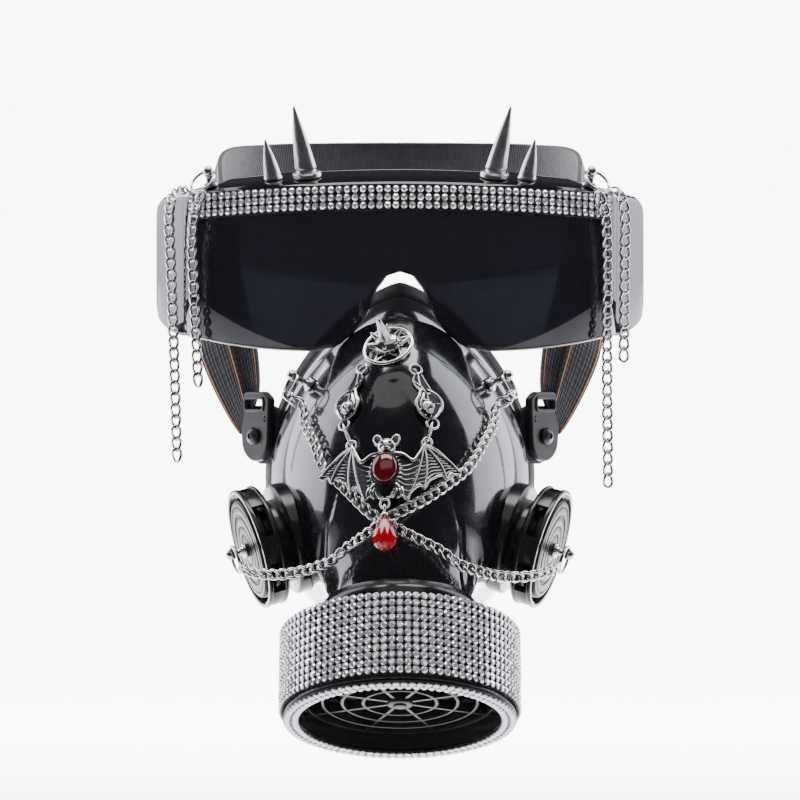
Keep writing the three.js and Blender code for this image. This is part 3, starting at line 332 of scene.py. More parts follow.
GAP = 0.3
LENS_RADIUS, LENS_FRONT, CREASE = 110.0, -23.6, 75.0
SPLAY = math.radians(18.3)
SIDE_LENGTH, WALL = 45.0, 2.2
TOP, TOP_DROP, LOW = 89.0, 1.8, 31.4
NOTCH_HALF, NOTCH_RISE = 31.0, 27.2
SHELF_DEPTH, SHELF_END, SHELF_RISE = 20.0, 4.0, 5.6
NOTCH = [(0, 1), (0.15, 0.952), (0.271, 0.786), (0.355, 0.566), (0.449, 0.346), (0.57, 0.186), (0.748, 0.046),
         (1, 0)]
LENS_Y = LENS_FRONT + LENS_RADIUS
SIDE_DIR = Vector((math.sin(SPLAY), math.cos(SPLAY), 0))
SIDE_OUT = Vector((math.cos(SPLAY), -math.sin(SPLAY), 0))

MASK_ROWS = [
    # top y, top z, side x, side y, side z, low y, low z, peak, belly
    (-14, 50, 46, 12, -14, 9, -65, 1.4, 0.7),
    (-23, 45, 45.4, 1, -15, 0, -66.6, 1.3, 0.72),
    (-33, 37, 43, -11, -17, -7, -66.8, 1.2, 0.76),
    (-43, 27.5, 39.4, -22, -20, -12, -66.2, 1.1, 0.8),
    (-50.5, 15.5, 35.6, -31, -25, -16, -65.6, 1, 0.85),
    (-55.5, 1, 31.6, -38.5, -31, -19, -65, 0.95, 0.9),
    (-60, -15, 28, -43.5, -39, -21.2, -64.6, 0.95, 0.95),
    (-64.6, -31, 25.4, -45.6, -47.5, -22.6, -64.5, 1, 1),
]
MASK_WALL = 2.4
TILT = math.radians(65.5)
FILTER_AXIS = Vector((0, -math.cos(TILT), -math.sin(TILT)))
FILTER_FACE = Vector((0, -62, -91.1))
FILTER_R, FILTER_H, BAND_FROM, BAND_TO = 38.4, 30.0, 1.6, 29.4
RIM_IN, RIM_OUT = 33.6, 38.6
NECK_R, NECK_LENGTH, NECK_BORE, PORT_R = 28.0, 9.4, 17.0, 24.0
NECK_FROM = FILTER_H + GAP
PORT_AT = NECK_FROM + NECK_LENGTH + GAP
CHARM_X = -3.7


def along_filter(back):
    return FILTER_FACE - FILTER_AXIS * back


def filter_frame(back=0.0):
    return frame_at(along_filter(back), -FILTER_AXIS)


def lens_plan(x):
    """Point of the lens in plan, between the creases, and its normal."""
    angle = math.asin(x / LENS_RADIUS)
    point = Vector((x, LENS_Y - LENS_RADIUS * math.cos(angle), 0))
    return point, Vector((math.sin(angle), -math.cos(angle), 0))


def lens_top(x):
    return TOP - TOP_DROP * (x / CREASE) ** 2


def shelf_seat(x, inset):
    point, normal = lens_plan(x)
    slope = SHELF_RISE / SHELF_DEPTH
    seat = point - normal * inset
    seat.z = lens_top(x) + slope * inset
    return seat, (normal * slope + Vector((0, 0, 1))).normalized()


# ---- materials ----


class Look:
    """A Principled material with its nodes at hand."""

    def __init__(self, name, **values):
        self.material = bpy.data.materials.new(name)
        self.material.use_nodes = True
        self.tree = self.material.node_tree
        self.shader = self.tree.nodes["Principled BSDF"]
        for key, value in values.items():
            self.shader.inputs[key.replace("_", " ")].default_value = value

    def node(self, kind, **values):
        made = self.tree.nodes.new(kind)
        for key, value in values.items():
            if hasattr(made, key):
                setattr(made, key, value)
            else:
                made.inputs[key.replace("_", " ")].default_value = value
        return made

    def link(self, a, b):
        self.tree.links.new(a, b)

    def place(self):
        if not hasattr(self, "coords"):
            self.coords = self.node("ShaderNodeTexCoord").outputs["Object"]
        return self.coords

    def noise(self, scale, detail=4.0, rough=0.6):
        made = self.node("ShaderNodeTexNoise", Scale=scale, Detail=detail, Roughness=rough)
        self.link(self.place(), made.inputs["Vector"])
        return made.outputs["Fac"]

    def ramp(self, source, stops):
        made = self.node("ShaderNodeValToRGB")
        ramp = made.color_ramp
        while len(ramp.elements) < len(stops):
            ramp.elements.new(0.5)
        for element, (at, color) in zip(ramp.elements, stops):
            element.position = at
            element.color = (*color, 1) if isinstance(color, (tuple, list)) else (color, color, color, 1)
        self.link(source, made.inputs["Fac"])
        return made.outputs["Color"]

    def bump(self, height, strength=0.2, distance=0.0004):
        made = self.node("ShaderNodeBump", Strength=strength, Distance=distance)
        self.link(height, made.inputs["Height"])
        if self.shader.inputs["Normal"].is_linked:
            self.link(self.shader.inputs["Normal"].links[0].from_socket, made.inputs["Normal"])
        self.link(made.outputs["Normal"], self.shader.inputs["Normal"])
        return self

    def compute(self, operation, *terms):
        made = self.node("ShaderNodeMath", operation=operation)
        for term, socket in zip(terms, made.inputs):
            if isinstance(term, float):
                socket.default_value = term
            else:
                self.link(term, socket)
        return made.outputs[0]

    def split(self, source):
        made = self.node("ShaderNodeSeparateXYZ")
        self.link(source, made.inputs[0])
        return made.outputs

    def set(self, socket, source):
        self.link(source, self.shader.inputs[socket])
        return self


def gloss_look():
    look = Look("mask_gloss", Base_Color=(0.006, 0.006, 0.008, 1), Specular_IOR_Level=0.6, Coat_Weight=1.0,
                Coat_Roughness=0.03)
    look.set("Roughness", look.ramp(look.noise(260, 5), [(0.35, 0.1), (0.75, 0.22)]))
    look.bump(look.noise(55, 2), 0.05, 0.0012)
    return look.material


def plastic_look(name, shade=0.012, rough=(0.28, 0.42), grain=900, shine=0.5):
    look = Look(name, Specular_IOR_Level=shine)
    look.set("Base Color", look.ramp(look.noise(38, 6), [(0.3, shade * 0.75), (0.7, shade * 1.3)]))
    look.set("Roughness", look.ramp(look.noise(150, 6), [(0.3, rough[0]), (0.75, rough[1])]))
    look.bump(look.noise(grain, 3), 0.12, 0.00008)
    return look.material


def rubber_look():
    look = Look("black_rubber", Specular_IOR_Level=0.35)
    look.set("Base Color", look.ramp(look.noise(60, 6), [(0.3, 0.011), (0.75, 0.022)]))
    look.set("Roughness", look.ramp(look.noise(210, 5), [(0.3, 0.5), (0.7, 0.68)]))
    look.bump(look.noise(1300, 3), 0.2, 0.0001)
    return look.material


def metal_look(name, color, rough, dark=None):
    look = Look(name, Metallic=1.0)
    worn = look.noise(170, 6)
    look.set("Roughness", look.ramp(worn, [(0.3, rough[0]), (0.75, rough[1])]))
    bright = [c * 1.04 for c in color]
    if dark is None:
        look.set("Base Color", look.ramp(look.noise(70, 4), [(0.3, [c * 0.94 for c in color]), (0.7, bright)]))
    else:
        hollow = look.node("ShaderNodeAmbientOcclusion", Distance=0.0011)
        hollow.samples = 6
        look.set("Base Color", look.ramp(hollow.outputs["AO"], [(0.25, dark), (0.62, color), (0.95, bright)]))
    look.bump(look.noise(1500, 2), 0.05, 0.00005)
    return look.material


def stone_look():
    look = Look("rhinestone", Metallic=0.78, Base_Color=(0.93, 0.935, 0.95, 1), Coat_Weight=0.6,
                Coat_Roughness=0.02)
    look.set("Roughness", look.ramp(look.noise(420, 4), [(0.35, 0.04), (0.7, 0.12)]))
    return look.material


def ruby_look(name, color, rough):
    look = Look(name, Base_Color=(*color, 1), Transmission_Weight=0.35, IOR=1.55, Coat_Weight=0.35,
                Coat_Roughness=0.02)
    look.set("Roughness", look.ramp(look.noise(90, 4), [(0.35, rough), (0.75, rough + 0.08)]))
    deep = look.ramp(look.noise(120, 3), [(0.3, [c * 0.7 for c in color]), (0.7, color)])
    look.set("Base Color", deep)
    return look.material


def tint_look():
    """Smoke tint: each face lets part of the light through, less above the curved line of the brow."""
    look = Look("visor_tint", Base_Color=(0.008, 0.008, 0.012, 1), Roughness=0.04)
    spot = look.split(look.place())
    # height above a line that is lowest over the nose and rises to the sides
    bow = look.compute("POWER", look.compute("ABSOLUTE", spot["X"]), 2.0)
    height = look.compute("MULTIPLY_ADD", bow, -2.2, spot["Z"])
    share = look.node("ShaderNodeMapRange", clamp=True, From_Min=0.0528, From_Max=0.0542, To_Min=0.038, To_Max=0.018)
    look.link(height, share.inputs["Value"])
    clear = look.node("ShaderNodeBsdfTransparent", Color=(0.86, 0.87, 1.0, 1))
    blend = look.node("ShaderNodeMixShader")
    for source, socket in zip((share, look.shader, clear), blend.inputs):
        look.link(source.outputs[0], socket)
    look.link(blend.outputs[0], look.tree.nodes["Material Output"].inputs["Surface"])
    return look.material


def strap_look():
    """Ribbed black elastic with a thin orange line near each edge, on a UV layer in millimetres."""
    look = Look("elastic", Specular_IOR_Level=0.25, Sheen_Weight=0.25, Sheen_Roughness=0.5)
    uv = look.node("ShaderNodeUVMap", uv_map="run")
    spot = look.split(uv.outputs["UV"])
    waves = [look.compute("SINE", look.compute("MULTIPLY", spot[way], TAU / pitch))
             for way, pitch in (("X", 1.25), ("Y", 1.5))]
    ribs = look.compute("MULTIPLY_ADD", waves[0], 0.45, waves[1])
    edge = look.compute("DIVIDE", spot["Y"], 10.0)
    orange = (0.6, 0.21, 0.07)
    black = (0.014, 0.013, 0.016)
    stops = [(0.0, black), (0.085, black), (0.1, orange), (0.13, orange), (0.145, black), (1.0, black)]
    look.set("Base Color", look.ramp(edge, stops))
    look.set("Roughness", look.ramp(look.noise(300, 5), [(0.3, 0.6), (0.75, 0.85)]))
    look.bump(ribs, 0.6, 0.0002)
    look.bump(look.noise(2600, 2), 0.3, 0.0001)
    return look.material


GLOSS = gloss_look()
PLASTIC = plastic_look("black_plastic", 0.01, (0.16, 0.27), 1100)
CAP = plastic_look("valve_cap", 0.009, (0.3, 0.42), 1100, 0.12)
BUCKLE = plastic_look("buckle_plastic", 0.014, (0.28, 0.4), 1400)
DARK = plastic_look("dark_backing", 0.01, (0.5, 0.7))
RUBBER = rubber_look()
NICKEL = metal_look("nickel", (0.74, 0.725, 0.71), (0.07, 0.16))
STEEL = metal_look("spike_steel", (0.72, 0.71, 0.7), (0.26, 0.38))
# painted shade: the dome's nickel is darker than the ring's, standing in for the dark reflections on its chrome
DOME_SHADED_NICKEL = metal_look("dome_nickel_painted_shade", (0.52, 0.515, 0.51), (0.1, 0.2))
ANTIQUE = metal_look("antique_silver", (0.72, 0.715, 0.71), (0.14, 0.26), (0.04, 0.04, 0.042))
HOLLOW = metal_look("antique_hollow", (0.045, 0.045, 0.05), (0.3, 0.5))
STONE = stone_look()
SETTING = metal_look("stone_setting", (0.42, 0.42, 0.44), (0.25, 0.4))
RUBY = ruby_look("ruby_cabochon", (0.12, 0.001, 0.006), 0.05)
DROP = ruby_look("ruby_drop", (0.5, 0.002, 0.012), 0.02)
TINT = tint_look()
ELASTIC = strap_look()


# ---- the mask ----

MASK_ANGLES = 240
SPAN_STEPS = 9
SKIN_INSET = 0.12
# Half width of the arched front panel at heights, from its top down
PANEL = [(22, 0), (20.4, 4.2), (16, 7.4), (8, 10.4), (-4, 14.5), (-16, 19.5), (-30, 23), (-52, 24)]
PANEL_FLAT, PANEL_GROOVE = 1.2, 0.45


def mask_loop(row, count=MASK_ANGLES, flat=False):
    top_y, top_z, side_x, side_y, side_z, low_y, low_z, peak, belly = row
    loop = []
    for i in range(count):
        angle = TAU * i / count
        sine, cosine = math.sin(angle), math.cos(angle)
        upper = cosine >= 0
        share = abs(cosine) if flat else cosine * cosine
        x = side_x * math.copysign(abs(sine) ** (peak if upper else belly), sine)
        y = lerp(side_y, top_y if upper else low_y, share)
        z = lerp(side_z, top_z if upper else low_z, abs(cosine))
        loop.append(Vector((x, y, z)))
    return loop


def port_row():
    centre = along_filter(PORT_AT)
    up = Vector((0, -math.sin(TILT), math.cos(TILT))) * PORT_R
    top, low = centre + up, centre - up
    return (top.y, top.z, PORT_R, centre.y, centre.z, low.y, low.z, 1, 1)


def mask_grid():
    loops = [mask_loop(row) for row in MASK_ROWS] + [mask_loop(port_row(), flat=True)]
    columns = [catmull([loop[i] for loop in loops], SPAN_STEPS) for i in range(MASK_ANGLES)]
    return [[column[j] for column in columns] for j in range(len(columns[0]))]


def grid_normals(grid):
    rows, count = len(grid), len(grid[0])
    out = []
    for r in range(rows):
        before, after = grid[max(r - 1, 0)], grid[min(r + 1, rows - 1)]
        line = []
        for c in range(count):
            along = after[c] - before[c]
            around = grid[r][(c + 1) % count] - grid[r][c - 1]
            line.append(around.cross(along).normalized())
        out.append(line)
    middle = grid[rows // 2][count // 4]
    sign = 1 if out[rows // 2][count // 4].dot(Vector((1, 0, 0))) * middle.x > 0 else -1
    return [[n * sign for n in line] for line in out]


def panel_relief(point):
    if point.y > -30:
        return 0.0
    z = point.z
    if z >= PANEL[0][0] or z <= PANEL[-1][0]:
        return 0.0
    for (za, wa), (zb, wb) in zip(PANEL, PANEL[1:]):
        if za >= z > zb:
            half = lerp(wa, wb, (za - z) / (za - zb))
            break
    across = (point.x - CHARM_X * 0.6) / max(half, 0.1)
    edge = half - abs(point.x - CHARM_X * 0.6)
    fade = smoothstep(-52, -44, z)
    flat = PANEL_FLAT * (1 - across * across) * min(1, half / 8) if edge > 0 else 0
    return -(flat + PANEL_GROOVE * math.exp(-(edge / 0.8) ** 2)) * fade


GRID = mask_grid()
NORMALS = grid_normals(GRID)


def make_mask():
    outer = [[p + n * (panel_relief(p) - SKIN_INSET) for p, n in zip(line, normals)]
             for line, normals in zip(GRID, NORMALS)]
    inner = [[p - n * MASK_WALL for p, n in zip(line, normals)] for line, normals in zip(GRID, NORMALS)]
    port = along_filter(PORT_AT)
    inner[-1] = [p.lerp(port, MASK_WALL / PORT_R) for p in GRID[-1]]
    rim = [[p.lerp(q, 0.5) + (p - near).normalized() * 0.25 for p, q, near in zip(outer[0], inner[0], outer[1])]]
    body = Body().add(loft([*outer, *reversed(inner), *rim], closed=True))
    body.build("mask_skin", [GLOSS], 60, ["mask_body"], "mask_gloss")


def make_seal():
    lip, flare, wall = 8.0, 2.4, 2.2
    rim, near = GRID[0], GRID[2]
    loops = []
    for point, next_point, normal in zip(rim, near, NORMALS[0]):
        back = (point - next_point).normalized()
        section = [(GAP, -wall), (GAP, -0.1), (lip * 0.3, flare * 0.3), (lip * 0.6, flare * 0.5),
                   (lip * 0.9, flare * 0.72), (lip, flare * 0.55), (lip, flare * 0.75 - wall),
                   (lip * 0.6, flare * 0.4 - wall * 0.9)]
        loops.append([point + back * b + normal * o for b, o in soft(section, 0.6, closed=True, steps=2)])
    Body().add(loft(loops, closed=True)).build("seal_edge", [RUBBER], 50, ["face_seal"], "black_rubber")


def solid_tree(name):
    mesh = nodes[name].data
    verts = [Vector(v.co) / MM for v in mesh.vertices]
    return BVHTree.FromPolygons(verts, [tuple(p.vertices) for p in mesh.polygons])


MASK_TREE = solid_tree("mask_body")


def mask_seat(x, z):
    hit, normal, _, _ = MASK_TREE.ray_cast(Vector((x, -200, z)), Vector((0, 1, 0)))
    return hit, (-normal if normal.y > 0 else normal)


def surface_frame(x, z, lift, lean=0.0):
    point, normal = mask_seat(x, z)
    return frame_at(point + normal * lift, normal, (math.cos(lean), 0, math.sin(lean)))


# ---- the visor ----


def notch_height(share):
    points = [Vector((a, b)) for a, b in NOTCH]
    for a, b in zip(points, points[1:]):
        if a.x <= share <= b.x:
            return lerp(a.y, b.y, smoothstep(0, 1, (share - a.x) / (b.x - a.x)) * 0.35
                        + 0.65 * (share - a.x) / (b.x - a.x))
    return 0.0


def visor_half():
    """Stations from the middle of the lens to the end of the side panel."""
    rows = []
    xs = [NOTCH_HALF * i / 30 for i in range(31)] + [NOTCH_HALF + (70.0 - NOTCH_HALF) * i / 14 for i in range(1, 15)]
    for x in xs:
        point, normal = lens_plan(x)
        if x < NOTCH_HALF:
            low = LOW + NOTCH_RISE * notch_height(x / NOTCH_HALF)
        else:
            low = LOW + 5.8 * ((x - NOTCH_HALF) / (CREASE - NOTCH_HALF)) ** 2
        rows.append([point, normal, low, lens_top(x), SHELF_DEPTH])
    crease, _ = lens_plan(CREASE)
    crease_low, crease_high = LOW + 5.8, lens_top(CREASE)
    start, turn = rows[-1][0], SIDE_LENGTH * 0.12
    end = crease + SIDE_DIR * turn
    normal_a = rows[-1][1]
    low_a, high_a = rows[-1][2], rows[-1][3]
    for i in range(1, 8):
        t = i / 8
        point = start * (1 - t) ** 2 + crease * 2 * t * (1 - t) + end * t * t
        rows.append([point, normal_a.lerp(SIDE_OUT, t).normalized(), lerp(low_a, crease_low + 0.1, t),
                     lerp(high_a, crease_high, t), SHELF_DEPTH])
    shares = [0.12 + 0.81 * i / 8 for i in range(9)] + [0.945, 0.96, 0.972, 0.983, 0.992, 1.0]
    for share in shares:
        corner = max(0.0, (share - 0.9) / 0.1)
        bend = 1 - math.sqrt(max(0.0, 1 - corner * corner))
        rows.append([crease + SIDE_DIR * share * SIDE_LENGTH, SIDE_OUT.copy(),
                     crease_low + 7 * share * share + 9 * bend, crease_high - 3 * bend,
                     lerp(SHELF_DEPTH, SHELF_END, min(1, share * 1.6))])
    return rows


def visor_rows():
    half = visor_half()
    flip = Matrix.Diagonal((-1, 1, 1)).to_3x3()
    other = [[flip @ p, flip @ n, low, high, depth] for p, n, low, high, depth in half[1:]]
    return list(reversed(other)) + half


VISOR = visor_rows()


def visor_section(row):
    point, normal, low, high, depth = row
    at = lambda inset, z: Vector((point.x - normal.x * inset, point.y - normal.y * inset, z))
    rise = lambda inset: high + SHELF_RISE * inset / SHELF_DEPTH
    profile = [(0.0, low + 0.6), (0.0, lerp(low, high, 0.33)), (0.0, lerp(low, high, 0.66)), (0.0, high - 2.6),
               (0.22, high - 1.5), (0.9, high - 0.5), (2.2, rise(2.2)), (depth * 0.5, rise(depth * 0.5)),
               (depth - 0.4, rise(depth)), (depth, rise(depth) - 0.4), (depth, rise(depth) - WALL + 0.4),
               (depth - 0.4, rise(depth) - WALL), (lerp(WALL, depth, 0.55), rise(depth * 0.5) - WALL),
               (WALL + 1.4, high - WALL), (WALL + 0.3, high - WALL - 1.2), (WALL, high - WALL - 2.6),
               (WALL, lerp(low, high, 0.66)), (WALL, lerp(low, high, 0.33)), (WALL, low + 0.6), (WALL - 0.5, low),
               (0.5, low)]
    return [at(inset, z) for inset, z in profile]


def make_visor():
    Body().add(loft([visor_section(row) for row in VISOR])).build(
        "visor_lens", [TINT], 55, ["visor_shell"], "visor_tint")
    edge = [Vector((p.x - n.x * WALL / 2, p.y - n.y * WALL / 2, low + 0.25)) for p, n, low, high, _ in VISOR]
    rail = [Vector((p.x - n.x * (d - 0.9), p.y - n.y * (d - 0.9), high + SHELF_RISE * d / SHELF_DEPTH - WALL * 0.45))
            for p, n, low, high, d in VISOR]
    rim = Body().add(tube(edge, 0.95, 8)).add(tube(rail, 1.05, 8))
    rim.build("visor_edges", [GLOSS], 50, (), "visor_tint")


def make_temples():
    for side, sign in SIDES:
        start, _ = lens_plan(CREASE)
        loops = []
        for i in range(25):
            share = 0.3 + 1.6 * i / 24
            along = share * SIDE_LENGTH
            bend = 1 - smoothstep(0.7, 1.9, share) * 0.9
            x = start.x + SIDE_DIR.x * min(along, SIDE_LENGTH * 0.7) - (WALL + GAP + 1.3) - (1 - bend) * 1.6
            z = 72 - 20 * max(0, share - 1.3) ** 2
            high = 4.4 * (0.72 + 0.28 * math.cos(min(1, i / 24) * 1.2))
            loops.append([Vector((sign * (x + dx), start.y + along, z + dz))
                          for dx, dz in rect(-1.2, -high, 1.2, high, 0.7)])
        Body().add(loft(loops)).build(f"temple_arm_{side}", [PLASTIC], 50, [f"temple_{side}"], "visor_tint")


# ---- rhinestones ----


def stone_bit(radius):
    """Round stone with a table and eight crown facets, girdle on Z = 0."""
    table, girdle = radius * 0.52, radius * 0.16
    return lathe([(0, -0.1), (radius, 0), (radius, girdle), (radius * 0.56, table), (0, table)], 8)


def cup_bit(radius):
    return lathe([(radius * 1.12, -0.3), (radius * 1.14, radius * 0.14), (radius * 0.98, radius * 0.22)], 10)


def lay_stones(name, places, radius, backing, replaced):
    """places are matrices with Z out of the surface; one mesh holds all the stones and their cups."""
    body = Body()
    for place in places:
        wobble = Matrix.Rotation(rng.uniform(-0.05, 0.05), 4, "X") @ Matrix.Rotation(rng.uniform(-0.05, 0.05), 4, "Y")
        turn = Matrix.Rotation(rng.uniform(0, TAU), 4, "Z")
        body.add(stone_bit(radius), place @ wobble @ turn, 0, True)
        body.add(cup_bit(radius), place, 1)
    for bit, matrix in backing:
        body.add(bit, matrix, 2)
    body.build(name, [STONE, SETTING, DARK], 30, [replaced], "rhinestone")


def trim_stones():
    places, pitch, radius = [], 2.78, 1.16
    reach = CREASE * 0.985
    arc = LENS_RADIUS * math.asin(reach / LENS_RADIUS)
    count = int(2 * arc / pitch)
    for row in range(3):
        for i in range(count):
            angle = (i + 0.5 - count / 2) * pitch / LENS_RADIUS
            x = LENS_RADIUS * math.sin(angle)
            point, normal = lens_plan(x)
            z = lens_top(x) - 1.1 - 1.6 - row * pitch
            seat = point + normal * (GAP + 0.85) + Vector((0, 0, z))
            places.append(frame_at(seat, normal, polar(1, angle)))
    loops = []
    for i in range(61):
        x = lerp(-reach, reach, i / 60)
        point, normal = lens_plan(x)
        top = lens_top(x) - 1.1
        loops.append([point + normal * out + Vector((0, 0, z)) for out, z in
                      ((GAP, top - 9), (GAP, top), (GAP + 0.6, top), (GAP + 0.6, top - 9))])
    lay_stones("trim_stones", places, radius, [(loft(loops), None)], "visor_trim")


def band_stones():
    rows, count, radius = 11, 96, 1.13
    places = []
    base = filter_frame()
    for row in range(rows):
        height = BAND_FROM + (row + 0.5) * (BAND_TO - BAND_FROM) / rows
        for i in range(count):
            angle = TAU * i / count
            out = polar(1, angle)
            places.append(base @ frame_at(out * 39.7 + Vector((0, 0, height)), out, (-out.y, out.x, 0)))
    band = lathe_ring([(38.7, BAND_FROM), (39.35, BAND_FROM), (39.35, BAND_TO), (38.7, BAND_TO)], 96)
    lay_stones("band_stones", places, radius, [(band, base)], "filter_band")


def rim_stones():
    places = []
    base = filter_frame()
    for radius, count in ((34.75, 84), (37.35, 90)):
        for i in range(count):
            angle = TAU * i / count
            out = polar(1, angle)
            places.append(base @ frame_at(out * radius + Vector((0, 0, -1.25)), (0, 0, -1), out))
    ring = lathe_ring([(RIM_IN, -0.3), (RIM_IN, -0.95), (RIM_OUT, -0.95), (RIM_OUT, -0.3)], 96)
    lay_stones("rim_stones", places, 1.15, [(ring, base)], "filter_rim_trim")


# ---- filter ----


def sector(r0, r1, z0, z1, a0, a1, steps=8, round_by=0.3):
    """Piece of a ring between two angles, with rounded edges."""
    section = rect(r0, z0, r1, z1, round_by)
    loops = []
    for i in range(steps + 1):
        angle = lerp(a0, a1, i / steps)
        loops.append([(r * math.cos(angle), r * math.sin(angle), z) for r, z in section])
    return loft(loops)


def make_filter():
    inner = FILTER_R - 4.2
    section = [(inner, 0.6), (inner + 0.6, 0), (FILTER_R - 0.6, 0), (FILTER_R, 0.6), (FILTER_R, FILTER_H - 1),
               (FILTER_R - 1, FILTER_H), (NECK_BORE, FILTER_H), (NECK_BORE, FILTER_H - 2.5), (inner, FILTER_H - 2.5),
               (inner, 9.5), (inner - 1.1, 8.6), (inner - 1.1, 7.4), (inner, 6.6)]
    body = Body().add(lathe_ring(section, 96))
    for radius, wide in ((12.2, 1.2), (19.2, 1.2), (25.8, 1.2), (31.4, 1.1)):
        body.add(lathe_ring(rect(radius - wide / 2, 5, radius + wide / 2, 8.4, 0.35), 72))
    body.add(lathe(soft([(0, 4.3), (4.3, 4.3), (4.3, 7), (0, 7)], 0.6), 32))
    body.add(lathe(soft([(0, 3.7), (2.2, 3.7), (2.2, 4.6), (0, 4.6)], 0.3), 24))
    for i in range(8):
        turn = Matrix.Rotation(TAU * (i + 0.5) / 8, 4, "Z")
        bar = box(inner - 1, 1.1, 3.2, (inner - 1) / 2 + 0.4, 0, 6.7, 0.2)
        body.add(bar, turn)
        # pierced plate behind the bars, in sectors
        a = TAU * i / 8
        for low, high in ((8.6, 14.6), (16.4, 22.4), (24.2, 29.6)):
            gap = 1.1 / low
            for part in range(2):
                a0 = a + part * TAU / 16 + gap
                body.add(sector(low, high, 10.4, 11.2, a0, a0 + TAU / 16 - 2 * gap, 4, 0.2))
    body.add(lathe_ring([(7.2, 10.2), (8.9, 10.2), (8.9, 11.4), (7.2, 11.4)], 48))
    body.verts = [tuple(filter_frame() @ Vector(v)) for v in body.verts]
    body.build("filter_canister", [PLASTIC], 40, ["filter_housing"], "black_plastic")
    neck = soft([(NECK_BORE, 0), (NECK_R, 0), (NECK_R, NECK_LENGTH * 0.62), (PORT_R + 1.6, NECK_LENGTH),
                 (NECK_BORE, NECK_LENGTH)], 0.9, closed=True)
    rib = rect(NECK_R - 0.4, 1.6, NECK_R, 3.0, 0.1, 3)
    collar = Body().add(lathe_ring(neck, 96)).add(lathe_ring(rib, 96))
    collar.verts = [tuple(filter_frame(NECK_FROM) @ Vector(v)) for v in collar.verts]
    collar.build("filter_collar", [PLASTIC], 45, ["filter_neck"], "black_plastic")


# ---- side valves ----

VALVE_AXIS = (0.925, -0.276, -0.26)
VALVE_SEAT = (38.2, -16, -33.5)
DISC_TOP = 15.4


def valve_frame(sign):
    return frame_at(sided(sign, *VALVE_SEAT), sided(sign, *VALVE_AXIS), (0, 0, 1))


def make_valve(side, sign):
    place = valve_frame(sign)
    axis = Vector((place[0][2], place[1][2], place[2][2]))
    count = 84
    loops = [[], [], [], [], []]
    for i in range(count):
        angle = TAU * i / count
        for k, (radius, height) in enumerate(((14.2, None), (14.2, 3), (18.6, 3), (19.4, 2.2), (19.4, None))):
            flat = polar(radius, angle, 3)
            if height is not None:
                point = place @ Vector((flat.x, flat.y, height))
            else:
                start = place @ flat
                hit, _, _, far = MASK_TREE.ray_cast(start, -axis)
                reach = min(far - GAP, 12.0) if hit is not None else 12.0
                point = start - axis * max(reach, 0.2)
            loops[k].append(point)
    body = Body().add(loft(loops, closed=True))
    waist = lathe(soft([(0, 2.6), (14.5, 2.6), (14.5, 7.6), (0, 7.6)], 0.5), 72)
    body.add(waist, place)
    drum = soft([(0, 7.4), (20.2, 7.4), (21, 8.2), (21, 9.2), (19.4, 9.4), (4.9, 9.4), (4.9, 10.4), (0, 10.4)], 0.35)
    body.add(lathe(drum, 84), place)
    body.add(lathe_ring(rect(19.4, 13.4, 21, 15, 0.45, 3), 84), place)
    half = math.asin(6 / 21)
    for i in range(6):
        middle = TAU * (i + 0.5) / 6
        reach = TAU / 12 - half
        body.add(sector(19.4, 20.9, 9.2, 13.6, middle - reach, middle + reach, 6, 0.25), place)
        rib = box(0.8, 4.6, 4.4, 17.6, 0, 11.4, 0.2)
        body.add(rib, place @ Matrix.Rotation(middle, 4, "Z"))
    body.add(lathe_ring([(13.6, 9.3), (15, 9.3), (15, 10.9), (13.6, 10.9)], 60), place)
    body.build(f"valve_drum_{side}", [PLASTIC], 40, [f"valve_housing_{side}"], "black_plastic")
    disc = [(0, 10.7), (16.6, 10.7), (17.4, 11.5), (17.4, 14.6), (16.8, 15.3)]
    for radius in (15.6, 12.6, 11.9, 8.6, 5.6):
        disc += [(radius, 15.4), (radius - 0.12, 15.1), (radius - 0.4, 15.1), (radius - 0.52, 15.4)]
    disc.append((0, 15.4))
    body = Body().add(lathe(soft(disc, 0.12, steps=2), 84), place)
    body.build(f"valve_cap_{side}", [CAP], 40, [f"valve_disc_{side}"], "black_plastic")


# ---- spikes, studs and rings ----

SPIKE_BIG = (4.9, 3.4, 3.2, 3.7, 25.5)
SPIKE_SMALL = (3.2, 0.8, 3.1, 3.1, 14.4)
SPIKES = [("spike_big_left", -34.5, -0.1, SPIKE_BIG), ("spike_big_right", 35.0, 0.14, SPIKE_BIG),
          ("spike_small_left", -47.5, -0.08, SPIKE_SMALL), ("spike_small_right", 47.5, 0.08, SPIKE_SMALL)]


def make_spikes():
    for name, x, lean, (collar, collar_high, neck, cone, height) in SPIKES:
        seat, normal = shelf_seat(x, 8)
        shear = Matrix.Identity(4)
        shear[0][2] = lean
        place = frame_at(seat + normal * GAP, normal) @ shear
        if collar_high > 2:
            rows = [(0, 0), (collar - 0.3, 0), (collar, 0.4), (collar, 1.5), (collar - 0.35, 2.0), (neck + 0.3, 2.3),
                    (neck + 0.15, 2.7), (cone, 3.3), (cone, 4.1), (cone - 0.1, 4.4)]
        else:
            rows = [(0, 0), (collar - 0.2, 0), (collar, 0.3), (collar, 0.8), (cone - 0.1, 1.1)]
        base = rows[-1]
        tip = 0.42
        for i in range(1, 9):
            t = i / 9
            rows.append((lerp(base[0], tip, t) + 0.35 * math.sin(math.pi * t), lerp(base[1], height - 0.9, t)))
        rows += [(tip + 0.1, height - 0.9), (tip * 0.8, height - 0.3), (0, height)]
        Body().add(lathe(rows, 56), place).build(name + "_turned", [STEEL], 34, [name], "nickel")


